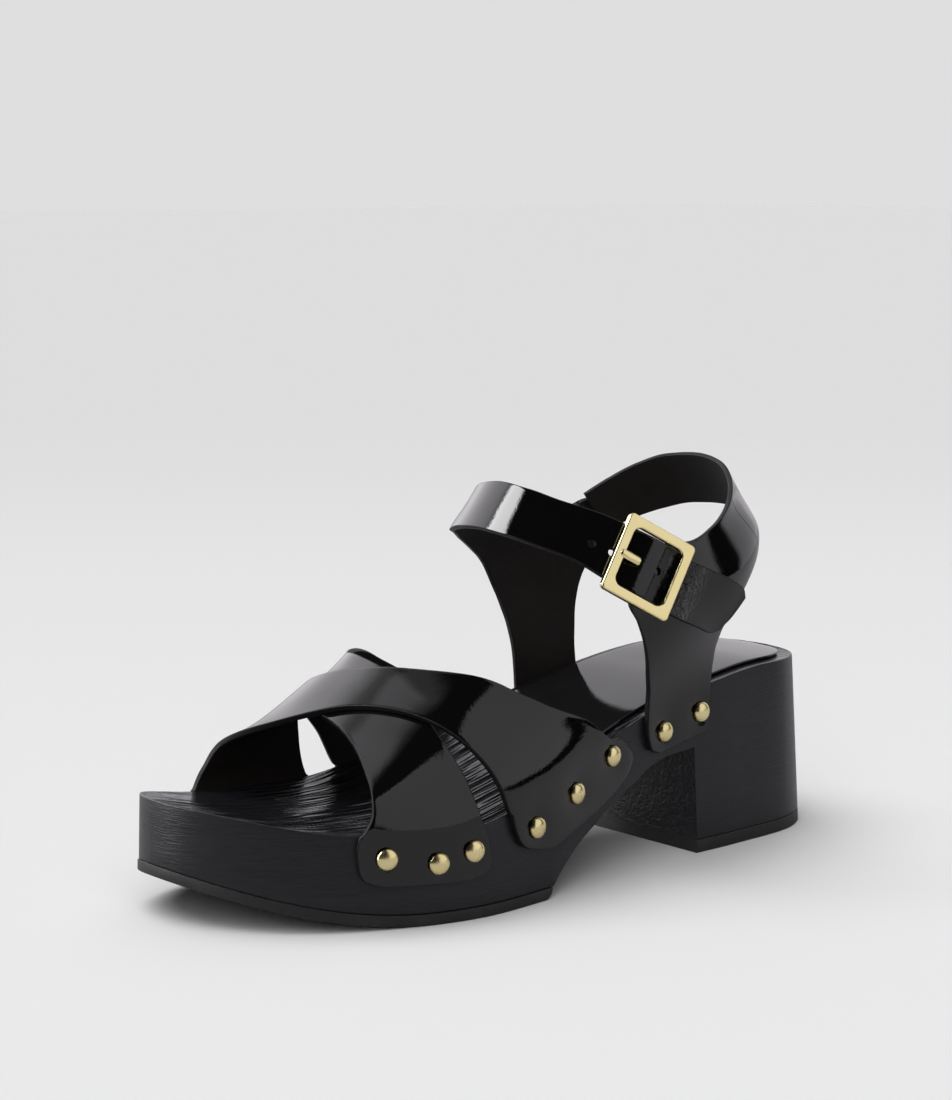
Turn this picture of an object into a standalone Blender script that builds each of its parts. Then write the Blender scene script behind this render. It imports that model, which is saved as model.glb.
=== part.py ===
# A left clog sandal: black wooden platform, crossed patent straps, ankle strap with a square buckle.
# Millimetres in the tables below, turned into metres where the meshes are made.
# X runs from the back of the heel to the toe, +Y is the outer side of the foot, Z is up.
import bisect
import math

import bmesh
import bpy
from mathutils import Matrix, Vector

MM = 0.001
GAP = 0.3

# Wooden platform
OUTLINE_BACK = (1.0, 0.0)
OUTLINE_TIP = (251.1, -13.8)
# outer x, outer y, inner x, inner y of the top edge, from the heel to the toe
OUTLINE = (
    (5.7, 17.2, 5.2, -17.3),
    (19.1, 27.3, 19.2, -27.2),
    (47.1, 30.8, 47.1, -30.6),
    (84.3, 32.3, 84.3, -30.8),
    (118.8, 38.0, 119.3, -35.6),
    (147.1, 43.3, 149.5, -40.3),
    (173.8, 44.9, 178.1, -44.7),
    (198.9, 38.6, 204.9, -45.7),
    (222.7, 26.9, 229.0, -43.0),
    (240.6, 9.5, 246.2, -32.9),
)
# x, height of the footbed's edge
FOOTBED = ((0, 59.5), (30, 60.2), (60, 57.2), (90, 51.0), (120, 42.8), (150, 33.7), (180, 28.4), (212, 29.7),
           (252, 37.8))
BREAST_X = 67.6
BREAST_SLOPE = 0.6
# x, height of the hollow under the arch
ARCH = ((68.2, 36.1), (75, 35.5), (82, 34.9), (90, 32.8), (101, 27.9), (112, 23.0), (120, 18.8), (128, 14.8),
        (133, 11.3), (138, 7.3), (141.5, 4.0))
HEEL_FLARE = 2.2
BACK_FLARE = 1.2
BACK_FLARE_ENDS_X = 30.0
TOE_FLARE = 1.0
FLARE_CHANGE = (75.0, 125.0)
TOP_ROUND = 1.5
DISH = 0.8

# Rubber pieces
LIFT_HEIGHT = 4.5
OUTSOLE_HEIGHT = 3.65
OUTSOLE_REAR_X = 142.6
OUTSOLE_REAR_ROUND = 3.2
OUTSOLE_RIM = 0.4
SPRING_START_X = 188.0
TOE_SPRING = 13.5

# Heel sock
SOCK_INSET = 5.0
SOCK_FRONT_X = 122.0
SOCK_HEIGHT = 2.4
SOCK_ROUND = 0.9

# Instep form that the crossed straps follow
# x, crown height over the footbed's edge, y of the ridge
LAST = ((100, 59.5, -16.8), (140, 58.1, -16.5), (175, 38.5, -15.8), (210, 19.2, -13.6), (245, 17.0, -11.5))
LAST_OUTER_POWERS = (1.06, 0.94)
LAST_INNER_POWERS = (0.88, 0.98)
STRAP_WALL = 2.0
CROSS_LIFT = 1.6
LIFT_STARTS = 0.35
LIFT_RANGE = 0.4

# turn over the foot in degrees (0 outer edge, 180 inner edge), drop below that edge, front x, rear x
UNDER_STRAP = (
    (0, 15.4, 204.0, 181.0),
    (0, 14.6, 208.4, 174.0),
    (0, 13.6, 210.9, 171.6),
    (0, 11.0, 212.2, 170.6),
    (0, 5.0, 212.7, 171.4),
    (0, 0, 211.4, 172.9),
    (12, 0, 208.4, 175.5),
    (24, 0, 206.2, 176.5),
    (36, 0, 203.0, 177.0),
    (72, 0, 193.6, 171.8),
    (108, 0, 189.4, 167.6),
    (144, 0, 176.8, 149.0),
    (162, 0, 169.0, 131.5),
    (180, 0, 161.8, 110.5),
    (180, 4.5, 161.0, 104.6),
    (180, 9.0, 159.4, 101.6),
    (180, 12.4, 157.0, 103.0),
    (180, 15.6, 151.0, 109.0),
    (180, 17.3, 146.5, 116.0),
    (180, 18.2, 142.0, 122.0),
)
OVER_STRAP = (
    (0, 18.2, 142.0, 122.0),
    (0, 17.3, 146.5, 116.0),
    (0, 15.6, 151.0, 109.0),
    (0, 12.4, 157.0, 103.0),
    (0, 9.0, 159.4, 101.6),
    (0, 4.5, 161.2, 104.4),
    (0, 0, 162.4, 109.0),
    (12, 0, 166.7, 125.4),
    (24, 0, 170.1, 141.2),
    (36, 0, 173.8, 152.4),
    (72, 0, 187.2, 171.0),
    (108, 0, 204.7, 180.2),
    (144, 0, 212.2, 178.4),
    (180, 0, 217.2, 172.4),
    (180, 5.0, 218.0, 171.0),
    (180, 11.0, 217.6, 170.8),
    (180, 13.6, 216.2, 171.8),
    (180, 14.6, 213.4, 174.2),
    (180, 15.4, 209.0, 181.0),
)

# Ankle form that stays and ankle straps follow
ANKLE_X = 82.1
ANKLE_Y = 2.5
ANKLE_SADDLE = 10.0
# level (height without the saddle), half length, half width
ANKLE = ((55, 54, 34), (85, 54.9, 42), (103, 54.9, 45), (119, 42.9, 40.5), (126, 40.9, 39))
WALL_ENDS_Z = 52.0
ANKLE_STARTS_Z = 88.0
STAY_WALL = 1.8
LAYER = 2.6

# lower or front edge: angle round the ankle (0 front, 90 outer side), height; upper or rear edge: the same; layer
FRONT_STRAP = (
    (-84.5, 37.6, -105.5, 40.6, 0),
    (-81.3, 39.2, -109.0, 43.0, 0),
    (-80.3, 46.0, -109.8, 50.0, 0),
    (-79.8, 58.0, -109.0, 61.0, 0),
    (-80.0, 67.0, -111.0, 71.5, 0),
    (-80.0, 73.0, -114.5, 80.5, 0),
    (-79.5, 77.5, -118.8, 88.0, 0),
    (-79.0, 81.0, -125.5, 96.5, 0),
    (-78.2, 83.8, -130.5, 102.5, 0),
    (-77.2, 86.2, -133.0, 108.5, 0),
    (-75.8, 89.0, -130.5, 113.6, 0),
    (-73.6, 92.4, -122.5, 113.0, 0),
    (-70.5, 95.4, -114.5, 110.5, 0),
    (-66.0, 98.0, -102.0, 108.9, 0),
    (-59.5, 101.0, -88.0, 109.2, 0),
    (-51.0, 104.2, -70.0, 112.0, 0),
    (-41.5, 107.2, -58.0, 115.4, 0),
    (-30.0, 109.2, -45.0, 118.4, 0),
    (-15.0, 111.8, -22.0, 124.6, 0),
    (0.0, 112.8, 0.0, 127.0, 0.1),
    (14.0, 111.6, 15.0, 125.7, 0.4),
    (28.0, 108.7, 30.0, 122.6, 0.8),
    (41.0, 104.8, 44.5, 119.3, 1),
    (52.0, 99.0, 57.0, 115.4, 1),
    (64.5, 92.0, 71.5, 109.2, 1),
    (77.0, 85.6, 86.0, 102.5, 1),
    (89.0, 80.8, 97.0, 98.2, 1),
    (96.5, 78.4, 105.5, 94.2, 1),
    (100.5, 78.9, 109.4, 91.4, 1),
    (104.0, 81.2, 110.4, 88.6, 1),
)
BACK_STRAP = (
    (106.5, 41.3, 84.5, 37.4, 0),
    (110.5, 43.5, 80.0, 39.2, 0),
    (111.4, 49.0, 78.0, 46.0, 0),
    (111.4, 57.0, 78.4, 57.0, 0),
    (109.8, 66.0, 75.6, 66.5, 0),
    (107.3, 73.0, 70.5, 76.5, 0),
    (106.5, 79.0, 65.5, 84.5, 0),
    (108.5, 84.0, 61.0, 92.0, 0),
    (112.5, 88.0, 61.5, 103.5, 0),
    (117.0, 91.5, 69.0, 108.2, 0),
    (123.0, 95.3, 88.0, 108.6, 0),
    (132.0, 100.0, 105.0, 112.2, 0),
    (142.0, 104.6, 121.5, 117.2, 0),
    (153.0, 108.6, 140.0, 123.3, 0),
    (166.0, 111.5, 160.0, 128.6, 0),
    (180.0, 112.5, 180.0, 130.4, -0.1),
    (194.0, 112.0, 197.0, 129.4, -0.4),
    (207.0, 109.6, 212.0, 125.9, -0.8),
    (219.0, 106.3, 226.0, 120.8, -1),
    (232.0, 101.5, 239.0, 115.2, -1),
)

# Buckle
BUCKLE_ROW = 24
BUCKLE_PAST_ROW = -2.4
BUCKLE_OUTER = (25.5, 27.0)
BUCKLE_INNER = (17.6, 19.4)
BUCKLE_OUTER_CORNER = 1.6
BUCKLE_INNER_CORNER = 4.0
BUCKLE_DEPTH = 2.4
BUCKLE_EDGE = 0.5
BUCKLE_STANDS_OFF = 0.1
PIN_RADIUS = 1.2
PIN_REACH = 7.5
PIN_LIFT = 0.5

# Domed nails: x, height of each pair, outer side and inner side alike
STUDS = (
    ("toe_1", 204.1, 22.4),
    ("toe_2", 188.6, 19.5),
    ("toe_3", 177.0, 21.9),
    ("waist_1", 151.4, 24.9),
    ("waist_2", 131.7, 32.2),
    ("waist_3", 112.5, 40.8),
    ("heel_1", 84.7, 44.3),
    ("heel_2", 66.7, 48.5),
)
STUD_RADIUS = 3.7
STUD_HEIGHT = 2.1
STUD_RINGS = 4
STUD_SEGMENTS = 14

# How finely the curved pieces are divided
OUTLINE_STEPS = 40
SOLE_STATIONS = 60
STRAP_ROWS = 52
STRAP_COLUMNS = 7
ANKLE_ROWS = 74
ANKLE_COLUMNS = 6
CLOSER_AT_ENDS = 0.7


def clear_scene():
    for thing in list(bpy.data.objects):
        bpy.data.objects.remove(thing, do_unlink=True)


def make_collection(name):
    group = bpy.data.collections.new(name)
    bpy.context.scene.collection.children.link(group)
    return group


def make_material(name, colour, roughness, metallic):
    material = bpy.data.materials.new(name)
    material.use_nodes = True
    shader = material.node_tree.nodes["Principled BSDF"]
    shader.inputs["Base Color"].default_value = (*colour, 1.0)
    shader.inputs["Roughness"].default_value = roughness
    shader.inputs["Metallic"].default_value = metallic
    return material


def add_object(name, bm, group, material, root):
    # Scales the finished millimetre mesh to metres and hangs it on the root.
    bmesh.ops.transform(bm, matrix=Matrix.Scale(MM, 4), verts=bm.verts)
    mesh = bpy.data.meshes.new(name)
    bm.to_mesh(mesh)
    bm.free()
    mesh.materials.append(material)
    mesh.shade_smooth()
    mesh.set_sharp_from_angle(angle=math.radians(35))
    thing = bpy.data.objects.new(name, mesh)
    thing.parent = root
    group.objects.link(thing)
    return thing


def steady_slopes(xs, ys):
    # Slopes of a curve that never swings past its rows.
    steps = [(ys[i + 1] - ys[i]) / (xs[i + 1] - xs[i]) for i in range(len(xs) - 1)]
    slopes = [steps[0]]
    for before, after in zip(steps, steps[1:]):
        together = before * after > 0
        slopes.append(2 * before * after / (before + after) if together else 0.0)
    slopes.append(steps[-1])
    return slopes


def column_curve(xs, ys):
    # A smooth function through the rows (xs, ys), level beyond its ends.
    slopes = steady_slopes(xs, ys)

    def value(x):
        if x <= xs[0]:
            return ys[0]
        if x >= xs[-1]:
            return ys[-1]
        i = bisect.bisect_right(xs, x) - 1
        width = xs[i + 1] - xs[i]
        t = (x - xs[i]) / width
        near = (1 + 2 * t) * (1 - t) ** 2 * ys[i] + t * (1 - t) ** 2 * width * slopes[i]
        far = t * t * (3 - 2 * t) * ys[i + 1] + t * t * (t - 1) * width * slopes[i + 1]
        return near + far

    return value


def table_curve(table, column):
    return column_curve([row[0] for row in table], [row[column] for row in table])


def smooth_step(value):
    t = min(max(value, 0.0), 1.0)
    return t * t * (3 - 2 * t)


def closed_curve(points, steps):
    # Rounded loop through the points, in even steps between each two.
    count = len(points)
    loop = []
    for i in range(count):
        p0, p1, p2, p3 = (Vector(points[(i + k - 1) % count]) for k in range(4))
        d1 = (p2 - p1).length ** 0.5
        d0 = (p1 - p0).length ** 0.5
        d2 = (p3 - p2).length ** 0.5
        m1 = (p2 - p1) + d1 * ((p1 - p0) / d0 - (p2 - p0) / (d0 + d1))
        m2 = (p2 - p1) + d1 * ((p3 - p2) / d2 - (p3 - p1) / (d1 + d2))
        for k in range(steps):
            t = k / steps
            a = 2 * t ** 3 - 3 * t ** 2 + 1
            b = t ** 3 - 2 * t ** 2 + t
            c = 3 * t ** 2 - 2 * t ** 3
            d = t ** 3 - t ** 2
            loop.append(a * p1 + b * m1 + c * p2 + d * m2)
    return loop


class SideLine:
    # One half of the platform's top edge, from heel to toe, with its outward direction.
    def __init__(self, points, outward):
        self.xs = [p.x for p in points]
        self.ys = [p.y for p in points]
        self.normals = []
        for i in range(len(points)):
            along = points[min(i + 1, len(points) - 1)] - points[max(i - 1, 0)]
            self.normals.append(Vector((-along.y, along.x)).normalized() * outward)

    def at(self, x):
        i = min(max(bisect.bisect_right(self.xs, x) - 1, 0), len(self.xs) - 2)
        t = (x - self.xs[i]) / (self.xs[i + 1] - self.xs[i])
        t = min(max(t, 0.0), 1.0)
        point = Vector((self.xs[i], self.ys[i])).lerp(Vector((self.xs[i + 1], self.ys[i + 1])), t)
        return point, self.normals[i].lerp(self.normals[i + 1], t).normalized()


def make_side_lines():
    outer = [(row[0], row[1]) for row in OUTLINE]
    inner = [(row[2], row[3]) for row in reversed(OUTLINE)]
    loop = closed_curve([OUTLINE_BACK, *outer, OUTLINE_TIP, *inner], OUTLINE_STEPS)
    tip = (len(outer) + 1) * OUTLINE_STEPS
    outer_half = loop[:tip + 1]
    inner_half = list(reversed(loop[tip:]))
    inner_half.insert(0, loop[0])
    return SideLine(outer_half, 1), SideLine(inner_half, -1)


footbed = table_curve(FOOTBED, 1)
arch = table_curve(ARCH, 1)
OUTER, INNER = make_side_lines()


def spring(x):
    # Height of the outsole's walking face.
    reach = max(x - SPRING_START_X, 0.0) / (OUTLINE_TIP[0] - SPRING_START_X)
    return TOE_SPRING * reach * reach


def underside(x):
    # Height of the wood's lower face: heel, hollow arch, then forefoot.
    if x <= BREAST_X:
        return LIFT_HEIGHT + GAP
    if x < ARCH[-1][0]:
        return arch(x)
    return OUTSOLE_HEIGHT + GAP + spring(x)


def flare(x):
    share = smooth_step((x - FLARE_CHANGE[0]) / (FLARE_CHANGE[1] - FLARE_CHANGE[0]))
    back = BACK_FLARE * (1 - smooth_step(x / BACK_FLARE_ENDS_X))
    return HEEL_FLARE + (TOE_FLARE - HEEL_FLARE) * share + back


def wall_point(line, x, z, push):
    # Point on the platform's side, pushed out by a distance.
    edge, normal = line.at(x)
    out = flare(x) * max(1 - z / footbed(x), 0.0) + push
    place = edge + normal * out
    return Vector((place.x, place.y, z))


def wall_y(line, x, z):
    edge, normal = line.at(x)
    return edge.y + math.copysign(flare(x) * max(1 - z / footbed(x), 0.0), normal.y)


def close_end(bm, ring):
    # Upright face between the two sides, then the rounding or dish above it.
    bm.faces.new((ring[0], ring[1], ring[-2], ring[-1]))
    if len(ring) > 4:
        bm.faces.new(ring[1:-1])


def loft(sections):
    # Skin over closed sections of equal point counts, with both ends capped.
    bm = bmesh.new()
    rings = [[bm.verts.new(point) for point in section] for section in sections]
    for ring, after in zip(rings, rings[1:]):
        for i in range(len(ring)):
            k = (i + 1) % len(ring)
            bm.faces.new((ring[i], ring[k], after[k], after[i]))
    close_end(bm, rings[0])
    close_end(bm, rings[-1])
    bmesh.ops.recalc_face_normals(bm, faces=bm.faces)
    return bm


def stations(start, end, count, round_start, round_end):
    # Cutting planes from heel to toe, close together at rounded ends.
    places = []
    for i in range(count + 1):
        t = i / count
        if round_start and round_end:
            t = (1 - math.cos(math.pi * t)) / 2
        elif round_start:
            t = 1 - math.cos(math.pi * t / 2)
        elif round_end:
            t = math.sin(math.pi * t / 2)
        places.append(start + (end - start) * t)
    return places


def platform_section(x):
    low = underside(x)
    high = footbed(x)
    rim = []
    for line in (OUTER, INNER):
        edge, normal = line.at(x)
        inset = edge - normal * TOP_ROUND
        shoulder = wall_point(line, x, high - TOP_ROUND, 0)
        rim.append((wall_point(line, x, low, 0), shoulder, inset))
    (outer_low, outer_shoulder, outer_in), (inner_low, inner_shoulder, inner_in) = rim
    top = []
    for share in (0, 0.25, 0.5, 0.75, 1):
        place = outer_in.lerp(inner_in, share)
        sag = DISH * (1 - (2 * share - 1) ** 2)
        top.append(Vector((place.x, place.y, footbed(place.x) - sag)))
    return [outer_low, outer_shoulder, *top, inner_shoulder, inner_low]


def make_platform():
    nose = 0.08
    places = stations(OUTLINE_BACK[0] + nose, OUTLINE_TIP[0] - nose, SOLE_STATIONS, True, True)
    near = 1.5
    places = [x for x in places if abs(x - BREAST_X) > near and abs(x - ARCH[-1][0]) > near]
    places += [BREAST_X, BREAST_X + BREAST_SLOPE, ARCH[-1][0]]
    return loft([platform_section(x) for x in sorted(places)])


def rear_round(x):
    # The outsole's lower rear edge, rounded upwards.
    before = max(OUTSOLE_REAR_X + OUTSOLE_REAR_ROUND - x, 0.0)
    return OUTSOLE_REAR_ROUND - math.sqrt(OUTSOLE_REAR_ROUND ** 2 - before ** 2)


def make_outsole():
    nose = 0.08
    sections = []
    rear = [OUTSOLE_REAR_X + OUTSOLE_REAR_ROUND * share for share in (0, 0.1, 0.3, 0.6)]
    flat_x = OUTSOLE_REAR_X + OUTSOLE_REAR_ROUND
    for x in rear + stations(flat_x, OUTLINE_TIP[0] - nose, SOLE_STATIONS // 2, False, True):
        section = []
        for line, order in ((OUTER, 1), (INNER, -1)):
            side = []
            for height in (rear_round(x), OUTSOLE_HEIGHT):
                point = wall_point(line, x, spring(x) + height, OUTSOLE_RIM)
                point.z = spring(point.x) + height
                side.append(point)
            section += side[::order]
        sections.append(section)
    return loft(sections)


def make_top_lift():
    nose = 0.08
    sections = []
    for x in stations(OUTLINE_BACK[0] + nose, BREAST_X, SOLE_STATIONS // 3, True, False):
        outer = [wall_point(OUTER, x, z, 0) for z in (0, LIFT_HEIGHT)]
        inner = [wall_point(INNER, x, z, 0) for z in (LIFT_HEIGHT, 0)]
        sections.append(outer + inner)
    return loft(sections)


def footbed_point(x, share):
    # Point on the footbed, share 0 at the outer edge and 1 at the inner edge.
    outer = OUTER.at(x)[0] - OUTER.at(x)[1] * TOP_ROUND
    inner = INNER.at(x)[0] - INNER.at(x)[1] * TOP_ROUND
    place = outer.lerp(inner, share)
    return Vector((x, place.y, footbed(x) - DISH * (1 - (2 * share - 1) ** 2)))


def make_sock():
    sections = []
    start = OUTLINE_BACK[0] + SOCK_INSET
    for x in stations(start + 0.1, SOCK_FRONT_X, SOLE_STATIONS // 3, True, False):
        # The sock keeps the platform's own rounding, set in from its edge.
        source = OUTLINE_BACK[0] + (x - start) * (SOCK_FRONT_X - OUTLINE_BACK[0]) / (SOCK_FRONT_X - start)
        edges = []
        for line in (OUTER, INNER):
            edge = line.at(source)[0]
            edges.append(edge.y - math.copysign(SOCK_INSET * min(abs(edge.y) / 17.0, 1.0), edge.y))
        section = []
        sock_top = []
        for share in (0, 0.25, 0.5, 0.75, 1):
            y = edges[0] + (edges[1] - edges[0]) * share
            outer_y = footbed_point(x, 0).y
            inner_y = footbed_point(x, 1).y
            bed = footbed_point(x, (outer_y - y) / (outer_y - inner_y))
            section.append(Vector((x, y, bed.z + GAP)))
            slim = y - math.copysign(SOCK_ROUND, y) if share in (0, 1) else y
            sock_top.append(Vector((x, slim, bed.z + GAP + SOCK_HEIGHT)))
        sections.append(section + sock_top[::-1])
    return loft(sections)


last_crown = table_curve(LAST, 1)
last_ridge = table_curve(LAST, 2)


def instep_point(x, turn, drop, off):
    # Point on the instep form: turn in degrees over the foot, or dropped down the platform's side.
    turn = min(max(turn, 0.0), 180.0)
    angle = math.radians(turn)
    line = OUTER if turn < 90 else INNER
    power_y, power_z = LAST_OUTER_POWERS if turn < 90 else LAST_INNER_POWERS
    side = 1 if turn < 90 else -1
    edge_z = footbed(x)
    if drop > 0:
        z = edge_z - drop
        return Vector((x, wall_y(line, x, z) + side * off, z))
    reach = line.at(x)[0].y + side * off - last_ridge(x)
    y = last_ridge(x) + reach * abs(math.cos(angle)) ** power_y
    return Vector((x, y, edge_z + (last_crown(x) + off) * abs(math.sin(angle)) ** power_z))


def strap_lengths(middles):
    # Distance along the strap to each of its rows.
    length = [0.0]
    for here, after in zip(middles, middles[1:]):
        length.append(length[-1] + (after - here).length)
    return length


def cross_strap_surface(table, lift):
    # Function of two shares, along the strap and across it from rear to front.
    length = strap_lengths([instep_point((row[2] + row[3]) / 2, row[0], row[1], GAP) for row in table])
    turn, drop, front, rear = (column_curve(length, [row[k] for row in table]) for k in range(4))

    def surface(along, across):
        s = along * length[-1]
        x = rear(s) + (front(s) - rear(s)) * across
        raised = smooth_step((math.sin(math.radians(turn(s))) - LIFT_STARTS) / LIFT_RANGE)
        return instep_point(x, turn(s), drop(s), GAP + lift * raised)

    return surface


ankle_length = table_curve(ANKLE, 1)
ankle_width = table_curve(ANKLE, 2)


def ankle_point(around, z, off):
    # Point on the ankle form: low down it is the platform's side, higher up an oval with a saddle.
    angle = math.radians(around)
    level = z - ANKLE_SADDLE * math.cos(2 * angle)
    x = ANKLE_X + (ankle_length(level) + off) * math.cos(angle)
    y = ANKLE_Y + (ankle_width(level) + off) * math.sin(angle)
    side = 1 if math.sin(angle) > 0 else -1
    flat = wall_y(OUTER if side > 0 else INNER, x, z) + side * (GAP + off)
    share = smooth_step((z - WALL_ENDS_Z) / (ANKLE_STARTS_Z - WALL_ENDS_Z))
    return Vector((x, flat + (y - flat) * share, z))


def ankle_strap_lengths(table):
    return strap_lengths([ankle_point((row[0] + row[2]) / 2, (row[1] + row[3]) / 2, 0) for row in table])


def ankle_strap_surface(table):
    # Function of two shares, along the strap and across it from lower to upper edge.
    length = ankle_strap_lengths(table)
    columns = [column_curve(length, [row[k] for row in table]) for k in range(5)]

    def surface(along, across):
        low_around, low_z, high_around, high_z, layer = (curve(along * length[-1]) for curve in columns)
        around = low_around + (high_around - low_around) * across
        return ankle_point(around, low_z + (high_z - low_z) * across, layer * LAYER)

    return surface


def sheet(surface, rows, columns):
    # Open sheet of leather from a function of two shares.
    bm = bmesh.new()
    bmesh.ops.create_grid(bm, x_segments=rows, y_segments=columns, size=0.5)
    for vert in bm.verts:
        along = vert.co.x + 0.5
        along -= CLOSER_AT_ENDS * math.sin(2 * math.pi * along) / (2 * math.pi)
        vert.co = surface(along, vert.co.y + 0.5)
    return bm


def thicken(thing, wall):
    solid = thing.modifiers.new("wall", "SOLIDIFY")
    solid.thickness = wall * MM
    solid.offset = 1
    solid.use_even_offset = True
    solid.use_quality_normals = True


def make_cross_straps(parts, cutters, material, root):
    under = sheet(cross_strap_surface(UNDER_STRAP, 0), STRAP_ROWS, STRAP_COLUMNS)
    straps = add_object("cross_straps", under, parts, material, root)
    thicken(straps, STRAP_WALL)
    over = sheet(cross_strap_surface(OVER_STRAP, CROSS_LIFT), STRAP_ROWS, STRAP_COLUMNS)
    over_strap = add_object("over_strap", over, cutters, material, root)
    thicken(over_strap, STRAP_WALL)
    over_strap.hide_render = True
    over_strap.display_type = "WIRE"
    join = straps.modifiers.new("crossing", "BOOLEAN")
    join.operation = "UNION"
    join.solver = "EXACT"
    join.object = over_strap


def rounded_rectangle(size, corner, steps=4):
    # Outline of a rectangle with round corners, anticlockwise.
    points = []
    for quarter in range(4):
        sign_x = 1 if quarter in (0, 3) else -1
        sign_y = 1 if quarter in (0, 1) else -1
        centre = (sign_x * (size[0] / 2 - corner), sign_y * (size[1] / 2 - corner))
        for k in range(steps + 1):
            angle = math.pi / 2 * (quarter + k / steps)
            points.append((centre[0] + corner * math.cos(angle), centre[1] + corner * math.sin(angle)))
    return points


def add_outline(curve, points):
    spline = curve.splines.new("POLY")
    spline.points.add(len(points) - 1)
    for point, (x, y) in zip(spline.points, points):
        point.co = (x, y, 0, 1)
    spline.use_cyclic_u = True


def buckle_frame_mesh():
    # Flat square frame with softened edges, made as a curve and turned into a mesh.
    curve = bpy.data.curves.new("buckle_outline", "CURVE")
    curve.dimensions = "2D"
    curve.fill_mode = "BOTH"
    curve.extrude = BUCKLE_DEPTH / 2 - BUCKLE_EDGE
    curve.bevel_depth = BUCKLE_EDGE
    curve.bevel_resolution = 1
    curve.offset = -BUCKLE_EDGE
    add_outline(curve, rounded_rectangle(BUCKLE_OUTER, BUCKLE_OUTER_CORNER))
    add_outline(curve, rounded_rectangle(BUCKLE_INNER, BUCKLE_INNER_CORNER))
    thing = bpy.data.objects.new("buckle_outline", curve)
    bpy.context.scene.collection.objects.link(thing)
    mesh = bpy.data.meshes.new_from_object(thing.evaluated_get(bpy.context.evaluated_depsgraph_get()))
    bpy.data.objects.remove(thing, do_unlink=True)
    bm = bmesh.new()
    bm.from_mesh(mesh)
    bpy.data.meshes.remove(mesh)
    bmesh.ops.remove_doubles(bm, verts=bm.verts, dist=0.001)
    return bm


def buckle_matrix():
    # Frame's place on the ankle strap: X along the strap towards its end, Z away from the foot.
    surface = ankle_strap_surface(FRONT_STRAP)
    length = ankle_strap_lengths(FRONT_STRAP)
    share = (length[BUCKLE_ROW] + BUCKLE_PAST_ROW) / length[-1]
    reach = BUCKLE_INNER[0] / 2 / length[-1]
    centre = surface(share, 0.5)
    along = (surface(share + reach, 0.5) - surface(share - reach, 0.5)).normalized()
    across = surface(share, 1) - surface(share, 0)
    out = along.cross(across).normalized()
    turned = Matrix((along, out.cross(along), out)).transposed().to_4x4()
    place = centre + out * (STAY_WALL + BUCKLE_STANDS_OFF + BUCKLE_DEPTH / 2)
    return Matrix.Translation(place) @ turned


def make_buckle(parts, cutters, material, root):
    place = buckle_matrix()
    frame = buckle_frame_mesh()
    bmesh.ops.transform(frame, matrix=place, verts=frame.verts)
    buckle = add_object("buckle", frame, parts, material, root)
    pin = bmesh.new()
    bar_middle = -(BUCKLE_OUTER[0] + BUCKLE_INNER[0]) / 4
    bmesh.ops.create_cone(pin, cap_ends=True, segments=12, radius1=PIN_RADIUS, radius2=PIN_RADIUS * 0.8,
                          depth=PIN_REACH, matrix=Matrix.Translation((bar_middle + PIN_REACH / 2, 0, PIN_LIFT))
                          @ Matrix.Rotation(math.pi / 2, 4, "Y"))
    bmesh.ops.transform(pin, matrix=place, verts=pin.verts)
    pin_object = add_object("buckle_pin", pin, cutters, material, root)
    pin_object.hide_render = True
    pin_object.display_type = "WIRE"
    join = buckle.modifiers.new("pin", "BOOLEAN")
    join.operation = "UNION"
    join.solver = "EXACT"
    join.object = pin_object


def make_stud(name, line, x, z, parts, material, root):
    # Domed nail head lying on the strap's outer face: a turned profile from crown to rim to centre.
    bm = bmesh.new()
    profile = []
    for k in range(STUD_RINGS + 1):
        angle = math.pi / 2 * k / STUD_RINGS
        profile.append(bm.verts.new((STUD_RADIUS * math.sin(angle), 0, STUD_HEIGHT * math.cos(angle))))
    profile.append(bm.verts.new((0, 0, 0)))
    edges = [bm.edges.new(pair) for pair in zip(profile, profile[1:])]
    bmesh.ops.spin(bm, geom=profile + edges, cent=(0, 0, 0), axis=(0, 0, 1), angle=2 * math.pi,
                   steps=STUD_SEGMENTS, use_merge=True)
    bmesh.ops.remove_doubles(bm, verts=bm.verts, dist=0.001)
    bmesh.ops.recalc_face_normals(bm, faces=bm.faces)
    wall = STAY_WALL if x < ANKLE_X + 20 else STRAP_WALL
    place = wall_point(line, x, z, GAP + wall + GAP)
    out = line.at(x)[1].to_3d()
    turned = out.to_track_quat("Z", "Y").to_matrix().to_4x4()
    bmesh.ops.transform(bm, matrix=Matrix.Translation(place) @ turned, verts=bm.verts)
    add_object(name, bm, parts, material, root)


def centre_on_floor(parts, root):
    # Moves the root so that the whole shoe stands on z = 0 with its box centred on the origin.
    bpy.context.view_layer.update()
    depsgraph = bpy.context.evaluated_depsgraph_get()
    low = Vector((math.inf,) * 3)
    high = Vector((-math.inf,) * 3)
    for thing in parts.objects:
        solid = thing.evaluated_get(depsgraph)
        for vert in solid.data.vertices:
            place = solid.matrix_world @ vert.co
            low = Vector(map(min, low, place))
            high = Vector(map(max, high, place))
    root.location = (-(low.x + high.x) / 2, -(low.y + high.y) / 2, -low.z)


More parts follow.
